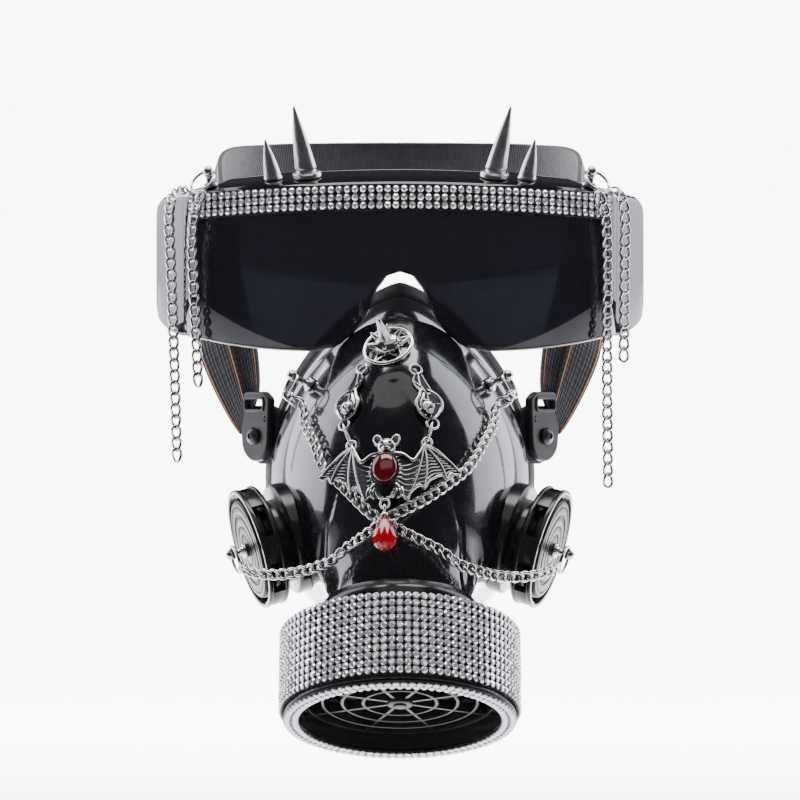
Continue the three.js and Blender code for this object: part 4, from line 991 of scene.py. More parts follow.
def stud_and_ring(name, seat, normal, reach, hang, facing=None):
    ball_r, ring_r, wire = 2.0, 4.7, 0.55
    normal = normal.normalized()
    origin = seat + normal * GAP
    middle = origin + normal * reach
    across = (facing if facing is not None else normal).normalized()
    down = (hang - across * hang.dot(across)).normalized()
    rows = [(0, 0), (2.5, 0), (2.6, 0.15), (2.6, 1.0), (2.3, 1.45), (1.6, 1.6), (1.3, 2.1), (1.2, reach - 2.4),
            (1.5, reach - 2.0), (1.5, reach - 1.6)]
    for i in range(9):
        angle = lerp(-0.9, math.pi / 2, i / 8)
        rows.append((ball_r * 0.98 * math.cos(angle) if i < 8 else 0, reach + ball_r * math.sin(angle)))
    body = Body().add(lathe(rows, 36), frame_at(origin, normal))
    body.build(f"{name[0]}_post_{name[1]}", [NICKEL], 40, [f"{name[0]}_stud_{name[1]}"], "nickel")
    centre = middle + down * ring_r
    hoop = Body().add(torus(ring_r, wire, 60, 14), frame_at(centre, across))
    hoop.build(f"{name[0]}_hoop_{name[1]}", [NICKEL], 60, [f"{name[0]}_ring_{name[1]}"], "nickel")


def make_studs():
    for side, sign in SIDES:
        seat, normal = shelf_seat(sign * 68.5, 3.6)
        stud_and_ring(("visor", side), seat, normal, 5.6, sided(sign, 0.385, -0.484, -0.78),
                      sided(sign, 0.48, -0.61, 0.62))
        seat, normal = mask_seat(sign * 30.4, 19)
        stud_and_ring(("mask", side), seat, normal, 7.4, sided(sign, -0.35, -0.46, -0.82))
        axis = sided(sign, *VALVE_AXIS).normalized()
        seat = sided(sign, *VALVE_SEAT) + axis * DISC_TOP
        stud_and_ring(("valve", side), seat, axis, 5.6, sided(sign, -0.72, -0.66, -0.2))


# ---- buckles and strap ----


def buckle_frame(sign, out):
    normal = sided(sign, math.sin(0.86), -math.cos(0.86), 0)
    side = sided(sign, 49.4, 15.5, 4.6) + normal * out
    return frame_at(side, normal, (0, 0, 1))


def plate_outline(length, width):
    top, half = length / 2, width / 2
    points = [(top, -half * 0.6), (top, half * 0.6), (top - 2.4, half), (-top * 0.3, half * 0.92)]
    for i in range(15):
        angle = math.pi * lerp(0.52, 1.48, i / 14)
        points.append((-top + half * 0.9 + half * 0.9 * math.cos(angle), half * 0.9 * math.sin(angle)))
    points += [(-top * 0.3, -half * 0.92), (top - 2.4, -half)]
    return soft(points, 1.0, closed=True, steps=2)


def circle(x, y, radius, count=28):
    return [(x + radius * math.cos(TAU * i / count), y + radius * math.sin(TAU * i / count)) for i in range(count)]


def rounded_box(x, y, dx, dy, radius=0.8):
    return rect(x - dx / 2, y - dy / 2, x + dx / 2, y + dy / 2, radius, 3)


def make_buckles():
    for side, sign in SIDES:
        place = buckle_frame(sign, 0)
        slot = rounded_box(7.9, 0, 3.2, 9.2)
        hole = circle(-3.4, 0, 2.6)
        body = Body().add(plate(plate_outline(24.8, 16.8), [slot, hole], 3.0, 0.7, 3), place)
        # raised rim round the slot and ribs beside the peg
        lip = plate(rounded_box(7.9, 0, 5.4, 11.6, 1.6), [rounded_box(7.9, 0, 3.5, 9.5, 0.9)], 0.7, 0.25)
        body.add(lip, place @ moved(0, 0, 2.8))
        for x in (2.0, 3.4):
            body.add(box(0.8, 12, 0.6, x, 0, 3.05, 0.3), place)
        body.build(f"buckle_plate_{side}", [BUCKLE], 40, [f"buckle_{side}"], "black_plastic")
        top = 3 + GAP
        rows = [(0, 0), (2.1, 0), (2.2, 0.2), (2.2, top), (3.0, top), (3.1, top + 0.2), (3.05, top + 0.5),
                (2.6, top + 1.2), (1.6, 5.0), (1.1, 5.2), (1.0, 4.7), (0, 4.6)]
        Body().add(lathe(rows, 40), place @ moved(-3.4, 0, 0)).build(
            f"buckle_peg_{side}", [BUCKLE], 40, [f"peg_{side}"], "black_plastic")
        dip = 3
        under = buckle_frame(sign, -2.4 - GAP)
        tab = Body()
        outline = [(x - dip, y) for x, y in plate_outline(20.8, 19.8)]
        tab.add(plate(outline, [], 2.4, 0.6, 3), under)
        rim = [(x * 0.86 - dip, y * 0.86) for x, y in plate_outline(20.8, 19.8)]
        tab.add(tube([under @ Vector((x, y, 2.25)) for x, y in rim], 0.5, 8, closed=True))
        # root into the mask's flank, ended where it meets the mask
        axis = Vector((under[0][2], under[1][2], under[2][2]))
        rows = [[], []]
        for x, y in rect(-9.9, -9, 2.7, 9, 3, 4):
            start = under @ Vector((x, y, 0.5))
            hit, _, _, far = MASK_TREE.ray_cast(start, -axis)
            reach = min(7.4, far - 0.45) if hit is not None else 7.4
            rows[0].append(start)
            rows[1].append(start - axis * max(0.2, reach))
        tab.add(loft(rows))
        tab.build(f"buckle_tab_{side}", [RUBBER], 40, [f"tab_{side}"], "black_rubber")


STRAP_WIDE, STRAP_THICK, FOLD_SHARE = 25, 1.8, 3 / 28
STRAP_ROUTE = [(54.84, 19.46, 16.55), (61.5, 33, 36), (66.6, 52, 62), (71, 84, 86), (70, 122, 99), (54, 158, 104),
               (26, 176, 106), (0, 181, 106.5)]


def strap_line():
    right = [Vector(p) for p in STRAP_ROUTE]
    left = [Vector((-p.x, p.y, p.z)) for p in right[:-1]]
    return catmull([*left, *reversed(right)], 14)


def strap_end(sign, share):
    """Where the strap's end lies at the buckle, from its inner edge at share 0 to its outer one."""
    return sided(sign, 50.2, 17.6, 15.2).lerp(sided(sign, 55.3, 23.4, 0.6), share)


def ribbon(name, line, width, thick, lift, shift, replaced):
    """Woven band along a line, its ends drawn in to where they pass behind the buckle plates.

    Its UV layer gives the way along it and the distance from its edge, in millimetres.
    """
    half, edge = width / 2, min(0.6, thick * 0.45)
    top = [(lerp(half, -half, i / 10), lift + thick) for i in range(11)]
    section = soft([(-half, lift), (half, lift), *top], edge, closed=True, steps=2)
    lengths = [0.0]
    for a, b in zip(line, line[1:]):
        lengths.append(lengths[-1] + (b - a).length)
    loops = []
    for i, point in enumerate(line):
        before, after = line[max(i - 1, 0)], line[min(i + 1, len(line) - 1)]
        tangent = (after - before).normalized()
        out = (point - Vector((0, 90, point.z - 30))).normalized()
        out = (out - tangent * out.dot(tangent)).normalized()
        across = tangent.cross(out)
        sign = -1 if point.x < 0 else 1
        outer = 1 if across.z < 0 else -1
        reach = lengths[i] if point.x < 0 else lengths[-1] - lengths[i]
        near = 1 - smoothstep(0, 24, reach) if point.y < 70 else 0
        loop = []
        for a, o in section:
            place = outer * shift + a
            free = point + across * place
            held = strap_end(sign, 0.5 + outer * place / STRAP_WIDE)
            loop.append(free.lerp(held, near) + out * o)
        loops.append(loop)
    obj = Body().add(loft(loops)).build(name, [ELASTIC], 50, [replaced], "elastic")
    layer = obj.data.uv_layers.new(name="run")
    count = len(section)
    for loop in obj.data.loops:
        across = section[loop.vertex_index % count][0]
        layer.data[loop.index].uv = (lengths[loop.vertex_index // count], half - abs(across))


def make_straps():
    dense = [p for p, _ in evenly(strap_line(), pitch=1.6)]
    ribbon("head_strap", dense, STRAP_WIDE, STRAP_THICK, 0, 0, "strap_loop")
    reach = FOLD_SHARE * sum((b - a).length for a, b in zip(dense, dense[1:]))
    for side, sign in SIDES:
        line = dense[::sign * -1]
        part, far = [], 0.0
        for a, b in zip(line, line[1:]):
            part.append(a)
            far += (b - a).length
            if far > reach:
                break
        ribbon(f"strap_end_{side}", part[::sign * -1], 15, 1.6, STRAP_THICK + 2 * GAP, 4.6, f"fold_{side}")


# ---- ornaments ----

STAR_R, STAR_WIRE = 8.4, 0.7
LEAF_L, LEAF_W, LEAF_THICK, LEAF_RING = 19.0, 9.4, 1.5, 2.0
BAT_HALF, BAT_THICK, BAT_SWEEP = 24.0, 1.5, 0.3
BAT_LOOP = (12.72, 8.88)
BAT_TAIL = Vector((0, -12.24, 0.9))
STONE_UP, STONE_BASE = -1.6, 2.9


def make_star():
    place = surface_frame(CHARM_X, 31.6, STAR_WIRE + GAP)
    body = Body().add(torus(STAR_R, STAR_WIRE, 72, 12), place)
    tips = [polar(1, math.pi / 2 + TAU * i / 5) * STAR_R for i in range(5)]
    for i in range(5):
        span = tips[(i + 2) % 5] - tips[i]
        middle = (tips[(i + 2) % 5] + tips[i]) / 2
        turn = Matrix.Translation(middle) @ Matrix.Rotation(math.atan2(span.y, span.x), 4, "Z")
        section = soft([(-0.55, -0.35), (0.55, -0.35), (0.55, 0.2), (0.15, 0.4), (-0.15, 0.4), (-0.55, 0.2)], 0.12,
                       closed=True, steps=1)
        loops = [[Vector((x, y, z)) for y, z in section] for x in (-span.length / 2, span.length / 2)]
        body.add(loft(loops), place @ turn)
    body.build("star_ring", [NICKEL], 40, ["pentagram_ring"], "nickel")


def make_dome():
    place = surface_frame(CHARM_X, 31.6, STAR_WIRE + GAP)
    base = STAR_WIRE / 2 + GAP
    rows = [(0, base), (4.6, base), (4.8, base + 0.3), (4.75, base + 0.9)]
    for i in range(1, 8):
        angle = math.pi / 2 * i / 8
        rows.append((4.7 * math.cos(angle) ** 0.8, base + 0.9 + 2.6 * math.sin(angle)))
    rows.append((0, base + 3.6))
    body = Body().add(lathe(rows, 48), place)
    spike = [(0, base + 1), (2.2, base + 2.4), (2.25, base + 3.1)]
    spike += [(lerp(2.2, 0.75, i / 7) + 0.1 * math.sin(math.pi * i / 7), lerp(base + 3.3, base + 11.6, i / 7))
              for i in range(8)]
    spike += [(0.5, base + 12.3), (0, base + 12.5)]
    body.add(lathe(spike, 32), place)
    for i in range(6):
        angle = (i + 0.4) / 6 * TAU
        out = Vector((math.cos(angle), math.sin(angle), 0.75)).normalized()
        origin = polar(1, angle) * 4.8 * 0.8
        origin.z = base + 1.8
        cone = [(0, -1.3), (1.15, -1.2), (1.1, 0), (0.85, 1.0), (0.4, 2.5), (0.15, 3.1), (0, 3.2)]
        body.add(lathe(cone, 20), place @ frame_at(origin, out, (0, 0, 1)))
    # beads round the foot
    for i in range(18):
        angle = TAU * i / 18
        body.add(ball(0.42, 0.42, 0.42, 10, 6),
                 place @ Matrix.Translation((4.75 * math.cos(angle), 4.75 * math.sin(angle), base + 0.45)))
    # the dome's darker nickel is painted shade, standing in for the dark reflections on its chrome
    body.build("spiked_dome", [DOME_SHADED_NICKEL], 45, ["stud_dome"], "nickel")


LEAF_EDGE = [(0.04, 0.1, 0.1), (0.2, 0.2, 0.26), (0.42, 0.34, 0.12), (0.62, 0.58, 0.42), (0.8, 0.5, 0.4),
             (0.98, 0.14, 0.14)]


def leaf_seat(sign):
    return surface_frame(CHARM_X + sign * 11.5, 14.6, GAP, sign * 0.3)


def make_leaves():
    for side, sign in SIDES:
        place = leaf_seat(sign)
        top = LEAF_L / 2
        outer = [(-o * LEAF_W, top - a * LEAF_L) for a, o, _ in LEAF_EDGE]
        inner = [(i * LEAF_W, top - a * LEAF_L) for a, _, i in LEAF_EDGE]
        smooth = catmull([Vector((x, y, 0)) for x, y in [*outer, *reversed(inner)]], 4, closed=True)
        outline = [(-sign * p.x, p.y) for p in smooth]
        body = Body().add(plate(outline, [], LEAF_THICK, 0.35, 2), place, 1)
        # veins and scroll edges
        for line in ([(0, 0.02), (0.03, 0.3), (-0.1, 0.5), (-0.06, 0.75), (0, 0.95)],
                     [(0.03, 0.3), (0.16, 0.24), (0.22, 0.16)], [(-0.1, 0.48), (-0.3, 0.5), (-0.42, 0.6)],
                     [(-0.08, 0.62), (0.2, 0.56), (0.34, 0.62)], [(-0.06, 0.74), (-0.3, 0.7), (-0.5, 0.72)],
                     [(-0.04, 0.8), (0.2, 0.76), (0.36, 0.78)], [(0.02, 0.4), (0.1, 0.36), (0.14, 0.3)]):
            curve = catmull([Vector((-sign * x * LEAF_W, top - a * LEAF_L, LEAF_THICK)) for x, a in line], 5)
            body.add(tube(curve, 0.4, 8, taper=lambda t: 1.05 - 0.55 * t), place)
        for line in ([(-0.16, 0.4), (-0.42, 0.52), (-0.54, 0.68), (-0.44, 0.84), (-0.22, 0.93)],
                     [(0.06, 0.36), (0.2, 0.5), (0.38, 0.62), (0.38, 0.78), (0.16, 0.92)],
                     [(0.0, 0.46), (0.1, 0.56), (0.24, 0.66), (0.26, 0.78)]):
            curve = catmull([Vector((-sign * x * LEAF_W, top - a * LEAF_L, LEAF_THICK + 0.15)) for x, a in line], 6)
            body.add(tube(curve, 0.55, 10, taper=lambda t: 0.45 + 0.6 * math.sin(math.pi * min(1, t + 0.1))), place)
        edge = [place @ Vector((x * 0.93, y * 0.97, LEAF_THICK)) for x, y in outline]
        body.add(tube(edge, 0.36, 8, closed=True))
        # skull: cranium, cheeks, brow, sockets left as dark pits, teeth
        head = place @ moved(0, -LEAF_L * 0.27, LEAF_THICK + 0.5)
        body.add(ball(2.15, 2.25, 1.9, 22, 14), head @ moved(0, 0.5, 0))
        body.add(ball(1.35, 1.1, 1.3, 16, 10), head @ moved(0, -1.5, 0.1))
        for s in (-1, 1):
            socket = head @ moved(s * 0.88, 0.15, 1.6) @ Matrix.Rotation(s * 0.35, 4, "Y")
            body.add(torus(0.6, 0.26, 16, 8), socket)
            body.add(ball(0.42, 0.42, 0.12, 12, 6), head @ moved(s * 0.88, 0.15, 1.52), 1)
            body.add(ball(0.5, 0.34, 0.4, 12, 8), head @ moved(s * 1.25, -0.75, 1.1))
        body.add(ball(0.24, 0.36, 0.12, 10, 6), head @ moved(0, -0.62, 1.62), 1)
        for i in range(4):
            body.add(box(0.36, 0.8, 0.5, -0.66 + 0.44 * i, -2.0, 1.15, 0.12), head)
        for y in (top + LEAF_RING * 0.6, -top - LEAF_RING * 0.6):
            body.add(torus(LEAF_RING, 0.42, 32, 10), place @ moved(0, y, LEAF_THICK / 2))
        body.build(f"leaf_connector_{side}", [ANTIQUE, HOLLOW], 45, [f"leaf_{side}"], "antique_silver")


def bat_seat():
    return (surface_frame(CHARM_X, -9.4, 4.1) @ Matrix.Rotation(-0.22, 4, "X")
            @ Matrix.Diagonal((1, 1.12, 1, 1)))


WING_ARM = [(0.05, 0.18), (0.22, 0.17), (0.36, 0.1), (0.44, 0.2), (0.5, 0.32)]
WING_EDGE = [(0.0, 0.2), (0.1, 0.23), (0.24, 0.2), (0.36, 0.12), (0.44, 0.24), (0.5, 0.34), (0.58, 0.31),
             (0.66, 0.28), (0.86, 0.12), (1, 0.0), (0.92, -0.035), (0.86, -0.02), (0.81, -0.1),
             (0.74, -0.06), (0.66, -0.1),
             (0.58, -0.16), (0.52, -0.27), (0.47, -0.22), (0.4, -0.25), (0.34, -0.34), (0.3, -0.44), (0.22, -0.38),
             (0.16, -0.42), (0.0, -0.4)]
WING_BONES = [(0.98, 0.0), (0.81, -0.09), (0.52, -0.26), (0.3, -0.43)]
WING_PEAK = (0.5, 0.31)


def swept(sign, x, y, z):
    """Wing point with its cupped, swept-back form."""
    across = abs(x) / BAT_HALF
    return Vector((sign * abs(x), y, z - BAT_SWEEP * abs(x) + 0.5 * math.sin(math.pi * min(1, across)) ** 2))


def wing_skin(sign):
    """Wing membrane as a grid between its upper and lower edge, sunk between the bones."""
    upper = [Vector((a * BAT_HALF, u * BAT_HALF, 0)) for a, u in WING_EDGE[:10]]
    lower = [Vector((a * BAT_HALF, u * BAT_HALF, 0)) for a, u in WING_EDGE[9:]][::-1]
    columns = 44
    ups = [p for p, _ in evenly(catmull(upper, 6), count=columns + 1)]
    lows = [p for p, _ in evenly(catmull(lower, 6), count=columns + 1)]
    bones = [(Vector((WING_PEAK[0] * BAT_HALF, WING_PEAK[1] * BAT_HALF, 0)), Vector((a * BAT_HALF, u * BAT_HALF, 0)))
             for a, u in WING_BONES]

    def bone_gap(p):
        best = 9.0
        for a, b in bones:
            t = min(1, max(0, (p - a).dot(b - a) / (b - a).length_squared))
            best = min(best, (p - a.lerp(b, t)).length)
        return best

    rows = 12
    front, back = [], []
    for c in range(columns + 1):
        for r in range(rows + 1):
            p = ups[c].lerp(lows[c], r / rows)
            dip = 0.55 * smoothstep(0, 2.4, bone_gap(p)) * math.sin(math.pi * r / rows) ** 0.5 if 0 < r < rows else 0
            front.append(swept(sign, p.x, p.y, BAT_THICK - 0.35 - dip))
            back.append(swept(sign, p.x, p.y, 0.25 if 0 < r < rows else 0.45))
    verts = front + back
    faces, size = [], (columns + 1) * (rows + 1)
    for c in range(columns):
        for r in range(rows):
            a = c * (rows + 1) + r
            b = a + rows + 1
            faces.append((a, b, b + 1, a + 1))
            faces.append((size + a, size + a + 1, size + b + 1, size + b))
    border = ([c * (rows + 1) for c in range(columns + 1)]
              + [columns * (rows + 1) + r for r in range(1, rows + 1)]
              + [c * (rows + 1) + rows for c in range(columns - 1, -1, -1)]
              + [r for r in range(rows - 1, 0, -1)])
    for a, b in zip(border, border[1:] + border[:1]):
        faces.append((a, size + a, size + b, b))
    return verts, faces


def wing_spot(share):
    return Vector((share[0] * BAT_HALF, share[1] * BAT_HALF, 0))


def wing_bead(sign, points, lift, wire, sides, steps=5, thick=1.0, thin=0.0):
    """Round bead along points of the wing, swept back with it and thinning to its end."""
    line = [swept(sign, p.x, p.y, BAT_THICK + lift) for p in catmull(points, steps)]
    return tube(line, wire, sides, taper=lambda t: thick - thin * t)


def make_bat():
    place = bat_seat()
    body = Body()
    for side, sign in SIDES:
        body.add(wing_skin(sign), place, 1)
        peak = wing_spot(WING_PEAK)
        bones = [wing_spot(bone) for bone in WING_BONES]
        beads = []
        for tip in bones:
            bow = (tip - peak).normalized().cross(Vector((0, 0, 1))) * -0.8
            beads.append(([peak, peak.lerp(tip, 0.35) + bow, peak.lerp(tip, 0.7) + bow, tip], 0, 0.52, 10, 8, 1, 0.5))
        # arm, upper edge, lower edge, claw
        claw = [Vector((12.0, 7.4, 0)), Vector((12.4, 8.6, 0)), Vector((11.6, 9.4, 0))]
        beads += [([wing_spot(spot) for spot in WING_ARM], 0, 0.7, 10, 8, 1.1, 0.35),
                  ([wing_spot(spot) for spot in WING_EDGE[5:10]], -0.3, 0.5, 8, 8, 1, 0.5),
                  ([wing_spot(spot) for spot in WING_EDGE[9:23]], -0.5, 0.3, 8, 4),
                  (claw, 0.2, 0.42, 8, 5, 1, 0.7)]
        # wrinkles of the membrane, between the bones
        for one, other in zip(bones, bones[1:]):
            for share in (0.3, 0.39, 0.48, 0.57, 0.66, 0.75, 0.84, 0.93):
                p, q = peak.lerp(one, share), peak.lerp(other, share)
                mid = (p + q) / 2 + (peak - (p + q) / 2).normalized() * 0.9
                beads.append(([p, mid, q], -0.38, 0.15, 6))
        for share in (0.25, 0.37, 0.49, 0.61, 0.73, 0.85, 0.97):
            p, q = peak.lerp(bones[-1], share), Vector((3.6, lerp(2.6, -6.5, share), 0))
            beads.append(([p, (p + q) / 2 + Vector((0, -0.7, 0)), q], -0.45, 0.15, 6))
        for bead in beads:
            body.add(wing_bead(sign, *bead), place)
        # ears, eyes, feet
        ear = place @ moved(sign * 3.0, 7.9, BAT_THICK + 0.9) @ Matrix.Rotation(sign * -0.35, 4, "Z")
        body.add(torus(1.3, 0.36, 24, 8), ear @ Matrix.Diagonal((0.95, 1.25, 1, 1)))
        body.add(ball(1.2, 1.6, 0.45, 18, 8), ear @ moved(0, 0, -0.2), 1)
        eye = place @ moved(sign * 1.35, 6.5, BAT_THICK + 2.45)
        body.add(ball(0.55, 0.5, 0.35, 14, 8), eye, 1)
        body.add(torus(0.62, 0.2, 18, 8), eye)
        body.add(ball(0.85, 0.75, 0.8, 14, 10), place @ moved(sign * 0.8, 4.9, BAT_THICK + 1.7))
        for k in range(3):
            toe = [sided(sign, 3.6 + 0.9 * k, -7.2, 1.1), sided(sign, 4.0 + 1.0 * k, -8.6, 1.5),
                   sided(sign, 4.1 + 1.05 * k, -9.7, 1.1)]
            body.add(tube(catmull(toe, 4), 0.4, 8, taper=lambda t: 1 - 0.6 * t), place)
        leg = [sided(sign, 2.2, -5.2, 1.2), sided(sign, 3.6, -6.2, 1.5), sided(sign, 4.6, -7.4, 1.3)]
        body.add(tube(catmull(leg, 5), 0.65, 8), place)
        loop = swept(sign, BAT_LOOP[0], BAT_LOOP[1], BAT_THICK / 2)
        body.add(torus(1.6, 0.42, 28, 10), place @ Matrix.Translation(loop))
        # tail membrane
        fan = [Vector((0, -5.6, 0.8)), sided(sign, 3.4, -7.2, 0.7), sided(sign, 2.7, -9.6, 0.6),
               Vector((0, -11.0, 0.7))]
        body.add(tube(catmull(fan, 6), 0.36, 8), place)
        for k in range(1, 4):
            t = k / 4
            rib = [Vector((0, lerp(-6, -11, t), 1.3)),
                   sided(sign, 1.6 * (1.2 - t * 0.5), lerp(-6.4, -11, t) - 0.4, 1.1),
                   sided(sign, 3.1 * (1.05 - t * 0.35), lerp(-6.6, -10, t), 0.7)]
            body.add(tube(catmull(rib, 5), 0.26, 6), place)
    fan = [(0, -5.4), (3.3, -7.2), (2.7, -9.6), (0, -11), (-2.7, -9.6), (-3.3, -7.2)]
    smooth = catmull([Vector((x, y, 0)) for x, y in fan], 5, closed=True)
    body.add(plate([(p.x, p.y) for p in smooth], [], 0.7, 0.2, 1), place @ moved(0, 0, 0.2), 1)
    # body with fur ridges, head, snout
    body.add(ball(3.5, 8.2, 2.0, 30, 20), place @ moved(0, -2.4, 0.9), 1)
    body.add(ball(3.2, 2.6, 2.5, 28, 18), place @ moved(0, 6.2, 1.7))
    body.add(ball(1.2, 0.9, 1.0, 16, 10), place @ moved(0, 4.9, 3.7))
    body.add(ball(0.45, 0.34, 0.4, 12, 8), place @ moved(0, 5.3, 4.6), 1)
    for i in range(26):
        angle = TAU * i / 26
        foot = Vector((math.cos(angle) * 4.5, STONE_UP + math.sin(angle) * 5.3, 2.2))
        end = Vector((math.cos(angle + 0.12) * 5.6, STONE_UP + math.sin(angle + 0.12) * 6.3, 1.0))
        bend = foot.lerp(end, 0.5) + Vector((0, 0, 0.35))
        body.add(tube([foot, bend, end], 0.26, 6, taper=lambda t: 1 - 0.6 * t), place)
    # bezel round the stone, with a rope edge
    scale = moved(0, STONE_UP, 0) @ Matrix.Diagonal((1, 5.8 / 5.1, 1, 1))
    bezel = [(3.0, 0.6), (4.7, 0.6), (4.75, 2.2), (4.6, 3.5), (4.35, 3.6), (4.3, 2.8), (3.0, 2.8)]
    body.add(lathe_ring(soft(bezel, 0.15, closed=True), 64), place @ scale, 1)
    body.add(torus(4.5, 0.14, 64, 8), place @ scale @ moved(0, 0, 3.5), 1)
    body.add(torus(1.5, 0.42, 28, 10), place @ Matrix.Translation(BAT_TAIL))
    body.build("bat_charm", [ANTIQUE, HOLLOW], 45, ["bat"], "antique_silver")


def make_stones():
    place = bat_seat() @ moved(0, STONE_UP, STONE_BASE + GAP)
    rows = [(0, 0), (0.98, 0), (1, 0.05), (0.99, 0.2)]
    for i in range(1, 12):
        angle = math.pi / 2 * i / 12
        rows.append((math.cos(angle) ** 0.92, 0.2 + 0.8 * math.sin(angle)))
    rows.append((0, 1))
    stone = Body().add(lathe(rows, 56), place @ Matrix.Diagonal((4.2, 4.9, 2.8, 1)))
    stone.build("bat_cabochon", [RUBY], 60, ["cabochon"], "ruby")
    loop = bat_seat() @ (BAT_TAIL - Vector((0, 1.5, 0)))
    hung = frame_at(loop, (0, math.sin(0.42), math.cos(0.42)))
    top = -1.2 - 0.4 - 1.2 - GAP
    rows = [(0.1, -1), (0.45, -1), (0.86, -0.86), (1, -0.66), (0.8, -0.38), (0.42, -0.12), (0.2, 0)]
    points = []
    for k, (radius, height) in enumerate(rows):
        for i in range(12):
            angle = TAU * (i + 0.5 * (k % 2)) / 12
            points.append((radius * 4.05 * math.cos(angle), radius * 4.05 * math.sin(angle), top + height * 11.4))
    pear = Body().add(hull(points), hung, 0, True)
    pear.add(ball(1.05, 0.9, 0.6, 18, 10), hung @ moved(0, 0, top - 11.1), 1)
    pear.build("red_pear", [DROP, NICKEL], 10, ["red_drop"], "ruby")
    bell = [(0, -2.6), (1.2, -2.6), (1.25, -2.3), (1.0, -1.8), (0.8, -1.4), (0, -1.4)]
    cap = Body().add(lathe(bell, 28), hung)
    cap.add(torus(1.2, 0.4, 28, 10), hung @ Matrix.Rotation(math.pi / 2, 4, "Y"))
    cap.build("drop_bell", [NICKEL], 40, ["drop_cap"], "nickel")
    for side, sign in SIDES:
        start = leaf_seat(sign) @ Vector((0, -LEAF_L / 2 - LEAF_RING * 0.6, LEAF_THICK / 2))
        end = bat_seat() @ sided(sign, BAT_LOOP[0], BAT_LOOP[1], BAT_THICK / 2 - BAT_SWEEP * BAT_LOOP[0])
        span = end - start
        out = lambda m: Vector((m[0][2], m[1][2], m[2][2])).normalized()
        front = (out(leaf_seat(sign)) + out(bat_seat())).normalized()
        middle = (start + end) / 2 + front * 0.4
        place = frame_at(middle, span.normalized().cross(front), span)
        loop = torus(1.9, 0.34, 32, 10)
        Body().add(loop, place @ Matrix.Diagonal((span.length / 2 / 1.9, 1, 1, 1))).build(
            f"charm_loop_{side}", [ANTIQUE], 50, [f"link_{side}"], "antique_silver")


# ---- chains ----

WIRE, LINK_WIDE, LINK_TWIST = 1.05, 4.1, 0.53
# Rows are x, y, z; where y is None the last number is the lift off the mask
CROSSING = {
    "chain_upper_left": [
        (-38.6, -28.2, 16.4), (-36.2, -29.6, 13.8), (-32.6, -28.9, 12), (-30.6, None, 6, 2.6),
        (-27.2, None, 0, 2.4), (-24.4, None, -8.4, 2.2),
        (-19.4, None, -13.6, 1.8), (-14.2, None, -18.8, 1.7), (-9, None, -23.8, 1.7), (-4, None, -27, 1.8),
        (1.4, None, -30.2, 1.8), (7, None, -33.2, 1.9), (13, None, -37, 2.6), (19, -61.5, -40.2),
        (25.5, -57.5, -42.6), (32, -51.6, -44.6), (38.4, -47, -45.4), (44, -44.2, -45.2), (48.8, -40.6, -44.4),
        (52.4, -36, -43.6), (54.2, -31.2, -42.6)],
    "chain_upper_right": [
        (38.6, -28.2, 16.4), (36.2, -29.6, 13.8), (32.6, -28.9, 12), (30.2, None, 6, 2.6),
        (26.4, None, -1, 2.4), (21.6, None, -9, 2.2),
        (15.4, None, -13.8, 1.9), (9.4, None, -18, 2.4), (4, None, -21.6, 3.6), (-0.6, None, -24.6, 4.6),
        (-5.6, None, -28, 4.7), (-10.8, None, -32.2, 4), (-16, None, -35.8, 3), (-21.6, -59.2, -38.6),
        (-28, -54.4, -41.4), (-34, -49.6, -43.4), (-39.6, -46.6, -44.4), (-44.6, -43.8, -44.6), (-49, -40.2, -44.2),
        (-52.4, -35.8, -43.5), (-54.2, -31.2, -42.6)],
}
HANGING = {
    "chain_left_long": [(-74.2, -2.1, 86.8), (-77, 2.2, 87.6), (-80.6, 8.4, 85.4), (-81.8, 12.4, 79),
                        (-81.4, 13.6, 66), (-80.4, 13.6, 40), (-79, 13.6, -7.6)],
    "chain_left_short": [(-68.8, -5.5, 86), (-71.4, -3.8, 80), (-72.6, -1.6, 70), (-71.9, -0.8, 50), (-70.6, -1, 19)],
    "chain_right_long": [(68.8, -5.5, 86), (71.4, -3.8, 80), (72.4, -1.6, 70), (72.4, -0.6, 40), (72.8, -0.2, -16)],
    "chain_right_short": [(74, -1.9, 86.8), (76.8, 1.6, 86.6), (79, 4.8, 81), (79.2, 6.2, 68), (78.8, 6.8, 28)],
}


def curb_link(pitch):
    """One twisted link along X, lying flat with Z out, so that its neighbours pass through it."""
    long_half, wide_half = (pitch + WIRE) / 2 + 0.02, (LINK_WIDE - WIRE) / 2
    line = []
    for i in range(22):
        angle = TAU * i / 22
        line.append((long_half * math.cos(angle), wide_half * math.sin(angle), LINK_TWIST * math.sin(2 * angle)))
    return tube(line, WIRE / 2, 8, closed=True)


def chain_of(name, line, outs, pitch, sway):
    body = Body()
    spots = evenly(line, pitch=pitch)
    step = (spots[1][0] - spots[0][0]).length
    link = curb_link(step)
    for (point, _), (after, _) in zip(spots, spots[1:]):
        middle = (point + after) / 2
        along = (after - point).normalized()
        out = outs(middle)
        out = (out - along * out.dot(along)).normalized()
        place = frame_at(middle, out, along) @ Matrix.Rotation(rng.uniform(-sway, sway), 4, "X")
        body.add(link, place)
    body.build(name + "_links", [NICKEL], 60, [name], "nickel")


def make_chains():
    for name, rows in CROSSING.items():
        points = []
        for row in rows:
            if row[1] is None:
                point, normal = mask_seat(row[0], row[2])
                points.append(point + normal * row[3])
            else:
                points.append(Vector(row))

        def away(p):
            total = Vector((0, 0, 0))
            for dx, dz in ((0, 0), (2.5, 0), (-2.5, 0), (0, 2.5), (0, -2.5)):
                near = p + Vector((dx, 0, dz))
                total += (near - MASK_TREE.find_nearest(near)[0]).normalized()
            return total.normalized()

        chain_of(name, catmull(points, 12), away, 3.5, 0.06)
    for name, rows in HANGING.items():
        sign = -1 if "left" in name else 1
        facing = sided(sign, 0.35, -1, 0)
        chain_of(name, catmull([Vector(r) for r in rows], 24), lambda p: facing, 4.0, 0.16)


